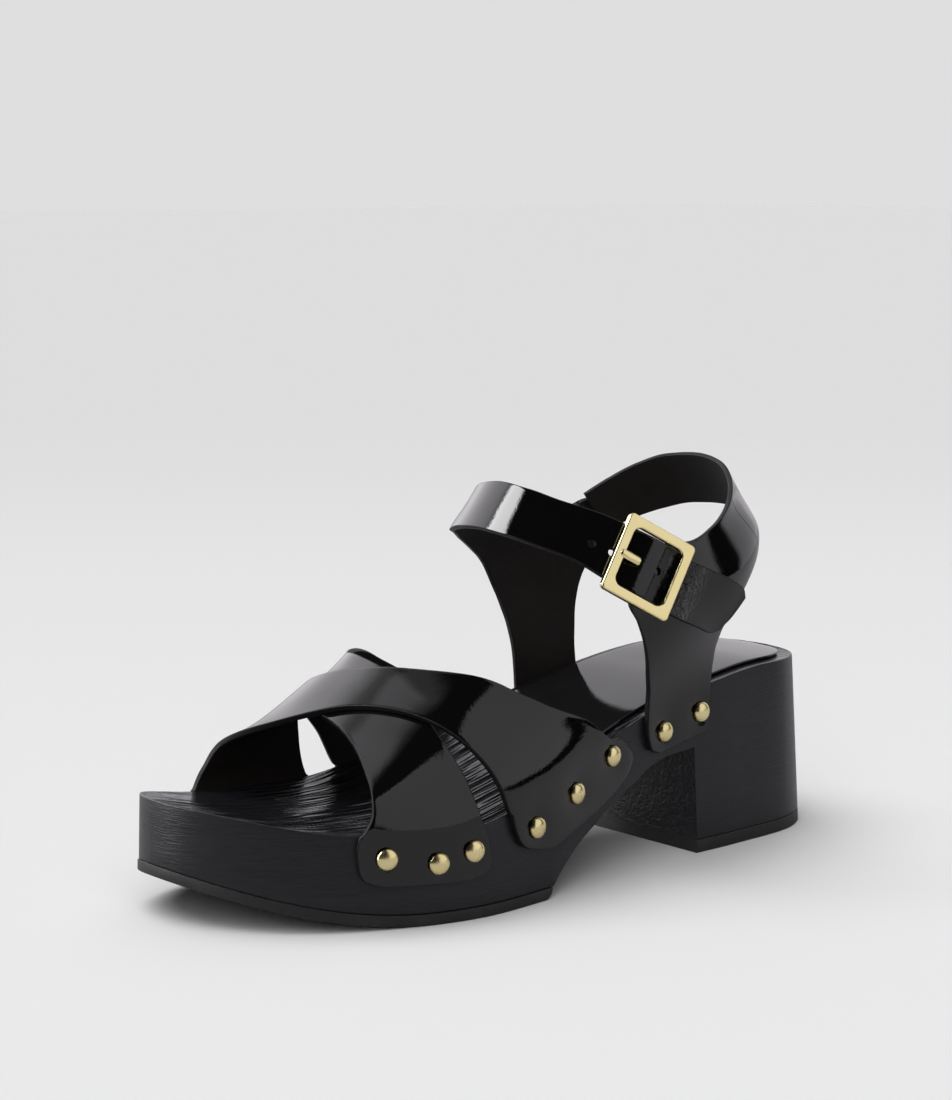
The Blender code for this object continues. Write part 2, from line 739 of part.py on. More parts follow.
def build():
    clear_scene()
    parts = make_collection("patent_leather_sandal")
    cutters = make_collection("joining_shapes")
    root = bpy.data.objects.new("sandal_place", None)
    bpy.context.scene.collection.objects.link(root)
    wood = make_material("black_stained_wood", (0.018, 0.018, 0.021), 0.38, 0)
    rubber = make_material("black_rubber", (0.014, 0.014, 0.014), 0.6, 0)
    sock = make_material("black_sock_leather", (0.02, 0.02, 0.021), 0.28, 0)
    patent = make_material("black_patent_leather", (0.006, 0.006, 0.007), 0.08, 0)
    gold = make_material("pale_gold", (0.83, 0.68, 0.36), 0.18, 1)
    add_object("clog_base", make_platform(), parts, wood, root)
    add_object("forefoot_outsole", make_outsole(), parts, rubber, root)
    add_object("heel_top_lift", make_top_lift(), parts, rubber, root)
    add_object("heel_sock", make_sock(), parts, sock, root)
    make_cross_straps(parts, cutters, patent, root)
    for name, table in (("medial_stay_ankle_strap", FRONT_STRAP), ("lateral_stay_back_strap", BACK_STRAP)):
        strap = sheet(ankle_strap_surface(table), ANKLE_ROWS, ANKLE_COLUMNS)
        thicken(add_object(name, strap, parts, patent, root), STAY_WALL)
    make_buckle(parts, cutters, gold, root)
    for side, line in (("outer", OUTER), ("inner", INNER)):
        for name, x, z in STUDS:
            make_stud("stud_" + side + "_" + name, line, x, z, parts, gold, root)
    centre_on_floor(parts, root)


build()
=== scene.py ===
import bisect
import math

import bmesh
import bpy
from mathutils import Matrix, Vector, noise


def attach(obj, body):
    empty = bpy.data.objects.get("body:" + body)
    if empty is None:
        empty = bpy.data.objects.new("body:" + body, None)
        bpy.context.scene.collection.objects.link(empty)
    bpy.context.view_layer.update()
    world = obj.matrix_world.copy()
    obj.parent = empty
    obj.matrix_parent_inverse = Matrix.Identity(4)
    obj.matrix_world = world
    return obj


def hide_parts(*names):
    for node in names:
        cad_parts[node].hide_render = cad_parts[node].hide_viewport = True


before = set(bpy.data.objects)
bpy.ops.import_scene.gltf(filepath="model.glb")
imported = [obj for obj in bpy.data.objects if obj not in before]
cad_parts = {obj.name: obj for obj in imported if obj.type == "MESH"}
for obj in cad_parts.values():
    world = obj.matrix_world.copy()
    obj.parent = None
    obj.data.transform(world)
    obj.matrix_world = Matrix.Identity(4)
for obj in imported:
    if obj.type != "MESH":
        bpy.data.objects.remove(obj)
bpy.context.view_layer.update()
print("frame loaded with", len(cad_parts), "nodes")

# lengths are in millimetres from the back of the heel, and become the frame's metres when a piece is placed
millimetre = 0.001
shoeShift = Vector((-124.874, -1.86, 0.0))
gap = 0.3


def evenShares(count):
    # where something is cut into count equal steps
    return [k / count for k in range(1, count)]


def meshFrom(name, bm, materials):
    # a mesh with its materials; the bmesh is used up
    mesh = bpy.data.meshes.new(name)
    bm.to_mesh(mesh)
    bm.free()
    for material in materials:
        mesh.materials.append(material)
    return mesh


def addObject(name, data):
    thing = bpy.data.objects.new(name, data)
    bpy.context.scene.collection.objects.link(thing)
    return thing


photoView = {"place": (687.9, 648.1, 228.0), "yaw": 40.37, "rise": 8.16, "focus": 2651, "imageHeight": 1100,
             "sensor": 36.0}


def makeCamera():
    yaw = math.radians(photoView["yaw"])
    rise = math.radians(photoView["rise"])
    right = Vector((-math.cos(yaw), math.sin(yaw), 0.0))
    level = Vector((math.sin(yaw), math.cos(yaw), 0.0))
    back = level * math.cos(rise) + Vector((0.0, 0.0, math.sin(rise)))
    turned = Matrix((right, back.cross(right), back)).transposed().to_4x4()
    data = bpy.data.cameras.new("photoCamera")
    data.sensor_width = photoView["sensor"]
    data.lens = photoView["focus"] / photoView["imageHeight"] * photoView["sensor"]
    camera = addObject("photoCamera", data)
    camera.matrix_world = Matrix.Translation((Vector(photoView["place"]) + shoeShift) * millimetre) @ turned
    bpy.context.scene.camera = camera


makeCamera()
print("camera set")


class Wire:
    # a node's output that can stand in a sum
    def __init__(self, finish, socket):
        self.finish = finish
        self.socket = socket

    def __add__(self, other):
        return self.finish.sum("ADD", self, other)

    def __radd__(self, other):
        return self.finish.sum("ADD", other, self)

    def __sub__(self, other):
        return self.finish.sum("SUBTRACT", self, other)

    def __rsub__(self, other):
        return self.finish.sum("SUBTRACT", other, self)

    def __mul__(self, other):
        return self.finish.sum("MULTIPLY", self, other)

    def __rmul__(self, other):
        return self.finish.sum("MULTIPLY", other, self)


class NodeBench:
    # a node tree and the ways to add to it
    def __init__(self, tree):
        self.tree = tree

    def node(self, kind, settings, sockets, out=0):
        made = self.tree.nodes.new(kind)
        for name, value in settings.items():
            setattr(made, name, value)
        for name, value in sockets.items():
            self.fill(made.inputs[name], value)
        return Wire(self, made.outputs[out])

    def fill(self, socket, value):
        if isinstance(value, Wire):
            self.tree.links.new(value.socket, socket)
        else:
            socket.default_value = value

    def sum(self, operation, first, second):
        return self.node("ShaderNodeMath", {"operation": operation}, {0: first, 1: second})

    def between(self, share, low, high):
        # share from low to high turned into 0 to 1
        return self.node("ShaderNodeMapRange", {"interpolation_type": "SMOOTHSTEP"},
                         {"Value": share, "From Min": low, "From Max": high})

    def reachAlong(self, place, direction):
        return self.node("ShaderNodeVectorMath", {"operation": "DOT_PRODUCT"}, {0: place, 1: direction},
                         "Value")

    def mixColours(self, share, first, second):
        return self.node("ShaderNodeMix", {"data_type": "RGBA"}, {"Factor": share, 6: first, 7: second}, 2)

    def blendColours(self, share, first, second):
        return self.mixColours(share, (*first, 1.0), (*second, 1.0))


class Finish(NodeBench):
    # one material: fixed values go on the shader, what changes over the surface is wired in
    def __init__(self, name, colour, roughness, fixed):
        self.material = bpy.data.materials.new(name)
        self.material.use_nodes = True
        super().__init__(self.material.node_tree)
        self.shader = self.tree.nodes["Principled BSDF"]
        self.shader.inputs["Base Color"].default_value = (*colour, 1.0)
        self.shader.inputs["Roughness"].default_value = roughness
        for socket, value in fixed.items():
            self.shader.inputs[socket].default_value = value
        self.place = self.node("ShaderNodeTexCoord", {}, {}, "Object")

    def noise(self, scale, detail, stretch=(1.0, 1.0, 1.0), roughness=0.5, distortion=0.0):
        mapped = self.node("ShaderNodeMapping", {}, {"Vector": self.place, "Scale": stretch})
        return self.node("ShaderNodeTexNoise", {}, {"Vector": mapped, "Scale": scale, "Detail": detail,
                                                    "Roughness": roughness, "Distortion": distortion}, "Fac")

    def painted(self, layer):
        # a share that the mesh holds at each of its points
        return self.node("ShaderNodeAttribute", {"attribute_name": layer}, {}, "Fac")

    def relief(self, height, depth):
        # a fine height, with its depth in metres, that bends the normal
        bump = self.node("ShaderNodeBump", {}, {"Height": height, "Distance": depth}, "Normal")
        self.fill(self.shader.inputs["Normal"], bump)

    def colour(self, wire):
        self.fill(self.shader.inputs["Base Color"], wire)

    def rough(self, wire):
        self.fill(self.shader.inputs["Roughness"], wire)

    def coat(self, wire):
        self.fill(self.shader.inputs["Coat Weight"], wire)


def makePatent():
    finish = Finish("blackPatent", (0.0022, 0.0021, 0.0022), 0.03, {"IOR": 1.5})
    fine = finish.noise(1250.0, 3.0)
    broad = finish.noise(190.0, 1.0)
    creases = finish.noise(620.0, 3.0, roughness=0.55, distortion=0.6) * finish.painted("crumple")
    finish.relief(fine * 0.4 + broad * 0.45 + creases * 45.0, 0.000045)
    finish.rough(0.018 + finish.noise(90.0, 3.0) * 0.02)
    return finish.material


def makeLining():
    finish = Finish("strapLining", (0.009, 0.0075, 0.0068), 0.72, {"Specular IOR Level": 0.25})
    fine = finish.noise(2600.0, 4.0)
    blotch = finish.noise(120.0, 3.0)
    finish.colour(finish.blendColours(blotch, (0.0068, 0.0056, 0.005), (0.0135, 0.0112, 0.01)))
    finish.relief(fine + blotch * 0.6, 0.0002)
    return finish.material


def makeEdge():
    finish = Finish("cutEdge", (0.008, 0.008, 0.009), 0.42, {"Specular IOR Level": 0.12})
    fibre = finish.noise(1800.0, 3.0)
    finish.rough(0.32 + fibre * 0.25)
    finish.relief(fibre, 0.0001)
    return finish.material


# the darkest and the lightest of the stained grain
woodStain = ((0.003, 0.0028, 0.0034), (0.0165, 0.0159, 0.0192))


def makeSideWood():
    # stained open grain that runs level round the sides
    finish = Finish("woodSide", (0.011, 0.0106, 0.0126), 0.36, {"Specular IOR Level": 0.3})
    lines = finish.noise(1.0, 4.0, (120.0, 120.0, 1900.0), 0.6, 0.2)
    bands = finish.noise(1.0, 2.0, (9.0, 9.0, 260.0), 0.5, 0.3)
    finish.colour(finish.blendColours(lines * 0.7 + bands * 0.3, *woodStain))
    finish.rough(0.28 + lines * 0.16)
    finish.relief(lines + bands * 0.6, 0.00017)
    return finish.material


def makeBedWood():
    # the footbed: the gloss is a coat that leaves the open grooves dull, and their colour goes to the
    # darkest stain, partly the open grain's own stain and partly painted shade in the grooves
    finish = Finish("woodTop", (0.009, 0.0086, 0.0102), 0.5,
                    {"Specular IOR Level": 0.0, "Coat Roughness": 0.19})
    groove = finish.painted("groove")
    lines = finish.noise(1.0, 4.0, (70.0, 1100.0, 1100.0), 0.6, 0.2)
    # partly painted shade: where the mesh holds a groove, the colour drops to the darkest stain
    finish.colour(finish.blendColours(lines * (1 - groove), *woodStain))
    finish.coat((1 - groove) * (0.5 + finish.between(lines, 0.35, 0.65) * 0.5))
    finish.relief(lines, 0.0002)
    return finish.material


def makeBreastWood():
    # end grain on the heel's front, brushed and curly
    finish = Finish("woodBreast", (0.01, 0.01, 0.012), 0.4, {"Specular IOR Level": 0.4})
    curls = finish.noise(300.0, 3.0, (1.0, 1.0, 1.3), 0.55, 1.2)
    pores = finish.noise(1100.0, 2.0)
    finish.colour(finish.blendColours(curls, (0.006, 0.006, 0.0072), (0.016, 0.016, 0.019)))
    finish.rough(0.3 + curls * 0.2)
    finish.relief(curls + pores * 0.3, 0.0003)
    return finish.material


def makeRubber():
    finish = Finish("blackRubber", (0.012, 0.0118, 0.0116), 0.55, {"Specular IOR Level": 0.32})
    speck = finish.noise(1400.0, 3.0)
    dust = finish.noise(70.0, 4.0)
    finish.colour(finish.blendColours(finish.between(dust, 0.45, 0.8), (0.0125, 0.0122, 0.0122),
                                      (0.023, 0.0205, 0.0195)))
    finish.relief(speck, 0.0001)
    finish.rough(0.42 + speck * 0.2)
    return finish.material


def makeSockLeather():
    finish = Finish("sockLeather", (0.009, 0.009, 0.0095), 0.1, {"IOR": 1.5})
    pebble = finish.noise(1700.0, 3.0)
    broad = finish.noise(110.0, 2.0)
    finish.colour(finish.blendColours(broad, (0.0075, 0.0075, 0.008), (0.012, 0.0118, 0.0122)))
    finish.rough(0.025 + broad * 0.03 + pebble * 0.02)
    finish.relief(pebble * 0.2 + broad * 0.6, 0.00005)
    return finish.material


def makeGold(name, gloss):
    finish = Finish(name, (0.86, 0.75, 0.38), gloss, {"Metallic": 1.0})
    scuff = finish.noise(900.0, 4.0)
    cloud = finish.noise(140.0, 2.0)
    finish.colour(finish.blendColours(cloud, (0.9, 0.8, 0.43), (0.82, 0.7, 0.34)))
    finish.rough(gloss + scuff * 0.12)
    finish.relief(scuff + cloud, 0.00003)
    return finish.material


finishes = {"patent": makePatent(), "edge": makeEdge(), "lining": makeLining(), "rubber": makeRubber(),
            "woodSide": makeSideWood(), "woodTop": makeBedWood(),
            "woodBreast": makeBreastWood(), "sock": makeSockLeather(),
            "gold": makeGold("paleGold", 0.08), "nailGold": makeGold("nailGold", 0.2)}
print("finishes made:", len(finishes))


def addPiece(name, bm, materials, nodes, sharpAngle=35):
    # places a millimetre mesh in the frame, in metres, and lets it stand for its nodes
    intoFrame = Matrix.Scale(millimetre, 4) @ Matrix.Translation(shoeShift)
    bmesh.ops.transform(bm, matrix=intoFrame, verts=bm.verts)
    mesh = meshFrom(name, bm, [finishes[material] for material in materials])
    mesh.shade_smooth()
    mesh.set_sharp_from_angle(angle=math.radians(sharpAngle))
    piece = addObject(name, mesh)
    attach(piece, "root")
    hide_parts(*nodes)
    return piece


def steadySlopes(xs, ys):
    # slopes of a curve that never swings past its rows
    steps = [(ys[i + 1] - ys[i]) / (xs[i + 1] - xs[i]) for i in range(len(xs) - 1)]
    slopes = [steps[0]]
    for before, after in zip(steps, steps[1:]):
        slopes.append(2 * before * after / (before + after) if before * after > 0 else 0.0)
    slopes.append(steps[-1])
    return slopes


def columnCurve(xs, ys):
    slopes = steadySlopes(xs, ys)

    def value(x):
        if x <= xs[0]:
            return ys[0]
        if x >= xs[-1]:
            return ys[-1]
        i = bisect.bisect_right(xs, x) - 1
        width = xs[i + 1] - xs[i]
        t = (x - xs[i]) / width
        near = (1 + 2 * t) * (1 - t) ** 2 * ys[i] + t * (1 - t) ** 2 * width * slopes[i]
        far = t * t * (3 - 2 * t) * ys[i + 1] + t * t * (t - 1) * width * slopes[i + 1]
        return near + far

    return value


def tableCurve(table, column):
    return columnCurve([row[0] for row in table], [row[column] for row in table])


def smoothStep(value):
    t = min(max(value, 0.0), 1.0)
    return t * t * (3 - 2 * t)


def rampShare(value, first, full):
    # 0 up to first, 1 from full on, eased between them
    return smoothStep((value - first) / (full - first))


def bell(value):
    return math.exp(-value ** 2)


def closedCurve(points, steps):
    # rounded loop through the points, in even steps between each two
    count = len(points)
    loop = []
    for i in range(count):
        p0, p1, p2, p3 = (Vector(points[(i + k - 1) % count]) for k in range(4))
        d0, d1, d2 = ((b - a).length ** 0.5 for a, b in ((p0, p1), (p1, p2), (p2, p3)))
        m1 = (p2 - p1) + d1 * ((p1 - p0) / d0 - (p2 - p0) / (d0 + d1))
        m2 = (p2 - p1) + d1 * ((p3 - p2) / d2 - (p3 - p1) / (d1 + d2))
        for k in range(steps):
            t = k / steps
            loop.append((2 * t ** 3 - 3 * t ** 2 + 1) * p1 + (t ** 3 - 2 * t ** 2 + t) * m1
                        + (3 * t ** 2 - 2 * t ** 3) * p2 + (t ** 3 - t ** 2) * m2)
    return loop


class SideLine:
    # one half of the platform's top edge, from heel to toe, with its outward direction
    def __init__(self, points, outward):
        self.xs = [p.x for p in points]
        self.points = points
        self.normals = []
        for i in range(len(points)):
            along = points[min(i + 1, len(points) - 1)] - points[max(i - 1, 0)]
            self.normals.append(Vector((-along.y, along.x)).normalized() * outward)

    def at(self, x):
        i = min(max(bisect.bisect_right(self.xs, x) - 1, 0), len(self.xs) - 2)
        t = min(max((x - self.xs[i]) / (self.xs[i + 1] - self.xs[i]), 0.0), 1.0)
        normal = self.normals[i].lerp(self.normals[i + 1], t).normalized()
        return self.points[i].lerp(self.points[i + 1], t), normal


clogBase = {
    "back": (1.0, 0.0), "tip": (251.1, -13.8),
    # outer x, outer y, inner x, inner y of the top edge
    "outline": ((5.7, 17.2, 5.2, -17.3), (19.1, 27.3, 19.2, -27.2), (47.1, 30.8, 47.1, -30.6),
                (84.3, 32.3, 84.3, -30.8), (118.8, 38.0, 119.3, -35.6), (147.1, 43.3, 149.5, -40.3),
                (173.8, 44.9, 178.1, -44.7), (198.9, 38.6, 204.9, -45.7), (222.7, 26.9, 229.0, -43.0),
                (240.6, 9.5, 246.2, -32.9)),
    "outlineSteps": 60,
    # x, height of the footbed's edge
    "footbed": ((0, 59.5), (30, 60.2), (60, 57.2), (90, 51.0), (120, 42.8), (150, 33.7), (180, 28.4),
                (212, 29.7), (252, 37.8)),
    # x, height of the hollow under the arch
    "arch": ((68.2, 36.1), (75, 35.5), (82, 34.9), (90, 32.8), (101, 27.9), (112, 23.0), (120, 18.8),
             (128, 14.8), (133, 11.3), (138, 7.3), (141.5, 4.0)),
    "breastX": 67.6, "heelFlare": 2.2, "backFlare": 1.2, "backFlareEndsX": 30.0, "toeFlare": 1.0,
    "flareChange": (75.0, 125.0), "topRound": 0.5, "topSteps": 5, "lowRound": 0.5, "lowSteps": 3,
    "dish": 0.8, "seam": 0.06, "stations": 170, "sideRows": (0.3, 0.7), "lowColumns": 8,
    # cuts keep this far from the heel's front and from the end of the arch
    "clearOfBreast": 0.8, "clearOfArch": 0.4,
    # steps of the upper edge that are finished as the footbed is
    "glossySteps": 2,
    # how squarely a face looks forwards to be the heel's front
    "breastFaces": 0.8,
}
rubberEdge = {"steps": 3, "upperShare": 0.6}
topLift = {"height": 4.5, "round": 0.5, "stations": 60}
outsole = {"height": 3.65, "rearX": 142.6, "rearRound": 3.2, "rearSteps": 8, "rim": 0.4,
           "springStartX": 188.0, "spring": 13.5, "round": 0.6, "stations": 110}
heelSock = {"inset": 5.0, "frontX": 122.0, "height": 1.05, "crown": 0.2, "crownPower": 4, "foot": 0.4,
            "round": 0.4, "roundSteps": 6, "columns": 24, "stations": 90, "join": 0.03}


def makeSideLines():
    outer = [(row[0], row[1]) for row in clogBase["outline"]]
    inner = [(row[2], row[3]) for row in reversed(clogBase["outline"])]
    loop = closedCurve([clogBase["back"], *outer, clogBase["tip"], *inner], clogBase["outlineSteps"])
    tip = (len(outer) + 1) * clogBase["outlineSteps"]
    return SideLine(loop[:tip + 1], 1), SideLine([loop[0], *reversed(loop[tip:])], -1)


footbed = tableCurve(clogBase["footbed"], 1)
archHeight = tableCurve(clogBase["arch"], 1)
outerLine, innerLine = makeSideLines()


def springHeight(x):
    start = outsole["springStartX"]
    return outsole["spring"] * (max(x - start, 0.0) / (clogBase["tip"][0] - start)) ** 2


def underside(x):
    if x <= clogBase["breastX"]:
        return topLift["height"] + clogBase["seam"]
    if x < clogBase["arch"][-1][0]:
        return archHeight(x)
    return outsole["height"] + clogBase["seam"] + springHeight(x)


def flare(x):
    share = rampShare(x, *clogBase["flareChange"])
    back = clogBase["backFlare"] * (1 - smoothStep(x / clogBase["backFlareEndsX"]))
    return clogBase["heelFlare"] + (clogBase["toeFlare"] - clogBase["heelFlare"]) * share + back


def lean(x, z):
    # how far the flared side stands out from the top edge at this height
    return flare(x) * max(1 - z / footbed(x), 0.0)


def wallPoint(line, x, z, push):
    edge, normal = line.at(x)
    place = edge + normal * (lean(x, z) + push)
    return Vector((place.x, place.y, z))


def wallY(line, x, z):
    edge, normal = line.at(x)
    return edge.y + math.copysign(lean(x, z), normal.y)


def easedStations(start, end, count, roundStart, roundEnd):
    # cutting planes from heel to toe, close together at rounded ends
    places = []
    for i in range(count + 1):
        t = i / count
        if roundStart and roundEnd:
            t = (1 - math.cos(math.pi * t)) / 2
        elif roundStart:
            t = 1 - math.cos(math.pi * t / 2)
        elif roundEnd:
            t = math.sin(math.pi * t / 2)
        places.append(start + (end - start) * t)
    return places


def quarterTurns(count):
    # (sine, cosine) pairs over a quarter turn
    angles = [math.pi / 2 * k / count for k in range(count + 1)]
    return [(math.sin(angle), math.cos(angle)) for angle in angles]


def foldRing(ring):
    # closes a rounded end: both sides of the ring meet in its middle
    total = len(ring)
    around = total - len(lowShares)
    mirror = [around - 1 - i if i < around else around + total - 1 - i for i in range(total)]
    return [(point + ring[mirror[i]]) / 2 for i, point in enumerate(ring)]


def rolledGrid(rings, kinds=None, capKind=0, join=0.0005):
    # a grid rolled into a closed skin over the rings; kinds gives each column's material, and points nearer
    # to each other than join become one
    bm = bmesh.new()
    rows = len(rings) - 1
    columns = len(rings[0])
    bmesh.ops.create_grid(bm, x_segments=rows, y_segments=columns, size=0.5)
    if kinds:
        for face in bm.faces:
            face.material_index = kinds[int((face.calc_center_median().y + 0.5) * columns)]
    for vert in bm.verts:
        row = round((vert.co.x + 0.5) * rows)
        column = round((vert.co.y + 0.5) * columns) % columns
        vert.co = rings[row][column]
    bmesh.ops.remove_doubles(bm, verts=bm.verts, dist=join)
    caps = bmesh.ops.holes_fill(bm, edges=[edge for edge in bm.edges if edge.is_boundary], sides=0)["faces"]
    for cap in caps:
        cap.material_index = capKind
    bmesh.ops.recalc_face_normals(bm, faces=bm.faces)
    return bm


bedGrain = {
    "columns": 400, "depth": 0.4, "reach": 0.24, "sway": 1.4, "deepShare": 0.85,
    # how fast each pattern changes along and across the shoe, and where in the noise it is taken
    "swayNoise": (0.016, 0.04, 3.7), "lineNoise": (0.02, 0.5, 8.1), "deepNoise": (0.035, 0.1, 5.3),
    "fadesAtEdge": 1.2, "startsX": (60.0, 100.0), "endsX": (246.5, 249.0), "bandBelowTop": 2.0,
}
bedShares = evenShares(bedGrain["columns"])
lowShares = evenShares(clogBase["lowColumns"])


def uneven(x, y, pattern):
    along, across, at = pattern
    return noise.noise(Vector((x * along, y * across, at)))


def grooveShare(x, y):
    # long open grooves of the footbed's grain, deeper in some stretches than in others
    swayed = y + bedGrain["sway"] * uneven(x, y, bedGrain["swayNoise"])
    groove = smoothStep(1 - abs(uneven(x, swayed, bedGrain["lineNoise"])) / bedGrain["reach"])
    deep = smoothStep(bedGrain["deepShare"] + uneven(x, y, bedGrain["deepNoise"]))
    fromEdge = min(outerLine.at(x)[0].y - y, y - innerLine.at(x)[0].y) - clogBase["topRound"]
    fade = smoothStep(fromEdge / bedGrain["fadesAtEdge"])
    fade *= rampShare(x, *bedGrain["startsX"])
    fade *= rampShare(x, *reversed(bedGrain["endsX"]))
    return groove * deep * fade


def dishDepth(share):
    # how far the footbed lies below its edge, by the share of its width
    return clogBase["dish"] * (1 - (2 * share - 1) ** 2)


def bedHeight(x, y):
    outer = outerLine.at(x)[0].y
    inner = innerLine.at(x)[0].y
    share = min(max((outer - y) / max(outer - inner, 0.01), 0.0), 1.0)
    return footbed(x) - dishDepth(share)


def pointsBetween(first, last, shares):
    return [first.lerp(last, share) for share in shares]


def wholeRing(sides, top):
    # up the outer side, over the top, down the inner side and back underneath
    return sides[0] + top + sides[1][::-1] + pointsBetween(sides[1][0], sides[0][0], lowShares)


def baseRing(x):
    low = underside(x)
    high = footbed(x)
    lowRound = clogBase["lowRound"]
    topRound = clogBase["topRound"]
    sides = []
    for line in (outerLine, innerLine):
        side = [wallPoint(line, x, low + lowRound * (1 - cosine), lowRound * (sine - 1))
                for sine, cosine in quarterTurns(clogBase["lowSteps"])]
        side += [wallPoint(line, x, low + (high - low) * share, 0.0) for share in clogBase["sideRows"]]
        for sine, cosine in quarterTurns(clogBase["topSteps"]):
            point = wallPoint(line, x, high + topRound * (sine - 1), topRound * (cosine - 1))
            point.z += footbed(point.x) - high
            side.append(point)
        sides.append(side)
    top = pointsBetween(sides[0][-1], sides[1][-1], bedShares)
    for point, share in zip(top, bedShares):
        point.z = footbed(point.x) - dishDepth(share)
        point.z -= bedGrain["depth"] * grooveShare(point.x, point.y)
    return wholeRing(sides, top)


def makeClogBase():
    breast = clogBase["breastX"]
    archStart = clogBase["arch"][0][0]
    archEnd = clogBase["arch"][-1][0]
    places = easedStations(clogBase["back"][0], clogBase["tip"][0], clogBase["stations"], True, True)
    places = [x for x in places
              if abs(x - breast) > clogBase["clearOfBreast"] and abs(x - archEnd) > clogBase["clearOfArch"]]
    rings = [baseRing(x) for x in sorted(places + [breast, archStart, archEnd])]
    rings[0] = foldRing(rings[0])
    rings[-1] = foldRing(rings[-1])
    side, top, front = range(3)
    glossy = clogBase["glossySteps"]
    upper = (len(rings[0]) - len(bedShares) - len(lowShares)) // 2 - 1 - glossy
    kinds = [side] * upper + [top] * (len(bedShares) + 1 + 2 * glossy)
    kinds += [side] * (upper + len(lowShares) + 1)
    bm = rolledGrid(rings, kinds)
    for face in bm.faces:
        if face.normal.x > clogBase["breastFaces"] and face.calc_center_median().x < archStart:
            face.material_index = front
    groove = bm.verts.layers.float.new("groove")
    for vert in bm.verts:
        if vert.co.z > footbed(vert.co.x) - bedGrain["bandBelowTop"]:
            vert[groove] = grooveShare(vert.co.x, vert.co.y)
    addPiece("clogBase", bm, ["woodSide", "woodTop", "woodBreast"], ["clog_base"], 50)


def rubberRing(x, lowZ, highZ, follow, rim, rounding):
    # a rubber slice with softened edges; follow gives the walking face's height
    upper = rounding * rubberEdge["upperShare"]
    turns = quarterTurns(rubberEdge["steps"])
    steps = [(lowZ + rounding * (1 - cosine), rounding * (sine - 1)) for sine, cosine in turns]
    steps += [(highZ + upper * (sine - 1), upper * (cosine - 1)) for sine, cosine in turns]
    sides = []
    for line in (outerLine, innerLine):
        side = []
        for height, push in steps:
            point = wallPoint(line, x, follow(x) + height, rim + push)
            point.z = follow(point.x) + height
            side.append(point)
        sides.append(side)
    return wholeRing(sides, pointsBetween(sides[0][-1], sides[1][-1], lowShares))


def makeOutsole():
    rounding = outsole["rearRound"]
    flatX = outsole["rearX"] + rounding
    rear = quarterTurns(outsole["rearSteps"])[:-1]
    places = [outsole["rearX"] + rounding * (1 - cosine) for sine, cosine in rear]
    places += easedStations(flatX, clogBase["tip"][0], outsole["stations"], False, True)
    rings = []
    for x in places:
        before = max(flatX - x, 0.0)
        lowZ = rounding - math.sqrt(max(rounding ** 2 - before ** 2, 0.0))
        soft = min(outsole["round"], (outsole["height"] - lowZ) / 2)
        rings.append(rubberRing(x, lowZ, outsole["height"], springHeight, outsole["rim"], soft))
    rings[-1] = foldRing(rings[-1])
    addPiece("forefootOutsole", rolledGrid(rings), ["rubber"], ["forefoot_outsole"])


def makeTopLift():
    places = easedStations(clogBase["back"][0], clogBase["breastX"], topLift["stations"], True, False)
    rings = [rubberRing(x, 0.0, topLift["height"], lambda x: 0.0, 0.0, topLift["round"]) for x in places]
    rings[0] = foldRing(rings[0])
    addPiece("heelTopLift", rolledGrid(rings), ["rubber"], ["heel_top_lift"])


def makeHeelSock():
    rounding = heelSock["round"]
    foot = heelSock["foot"]
    steps = [(0.0, -foot), (foot, 0.0)]
    steps += [(heelSock["height"] + rounding * (sine - 1), rounding * (cosine - 1))
              for sine, cosine in quarterTurns(heelSock["roundSteps"])]
    topShares = evenShares(heelSock["columns"])
    rings = []
    for x in easedStations(clogBase["back"][0], heelSock["frontX"], heelSock["stations"], True, False):
        sides = []
        for line in (outerLine, innerLine):
            edge, normal = line.at(x)
            side = []
            for height, push in steps:
                place = edge - normal * (heelSock["inset"] - push)
                side.append(Vector((place.x, place.y, bedHeight(place.x, place.y) + gap + height)))
            sides.append(side)
        top = pointsBetween(sides[0][-1], sides[1][-1], topShares)
        for point, share in zip(top, topShares):
            point.z += heelSock["crown"] * (1 - (2 * share - 1) ** heelSock["crownPower"])
        ring = wholeRing(sides, top)
        for point in ring[-len(lowShares):]:
            point.z = bedHeight(point.x, point.y) + gap
        rings.append(ring)
    rings[0] = foldRing(rings[0])
    bm = rolledGrid(rings, join=heelSock["join"])
    sock = addPiece("heelSock", bm, ["sock"], ["heel_sock"])


makeClogBase()
makeOutsole()
makeTopLift()
makeHeelSock()
print("platform, rubber and sock made")

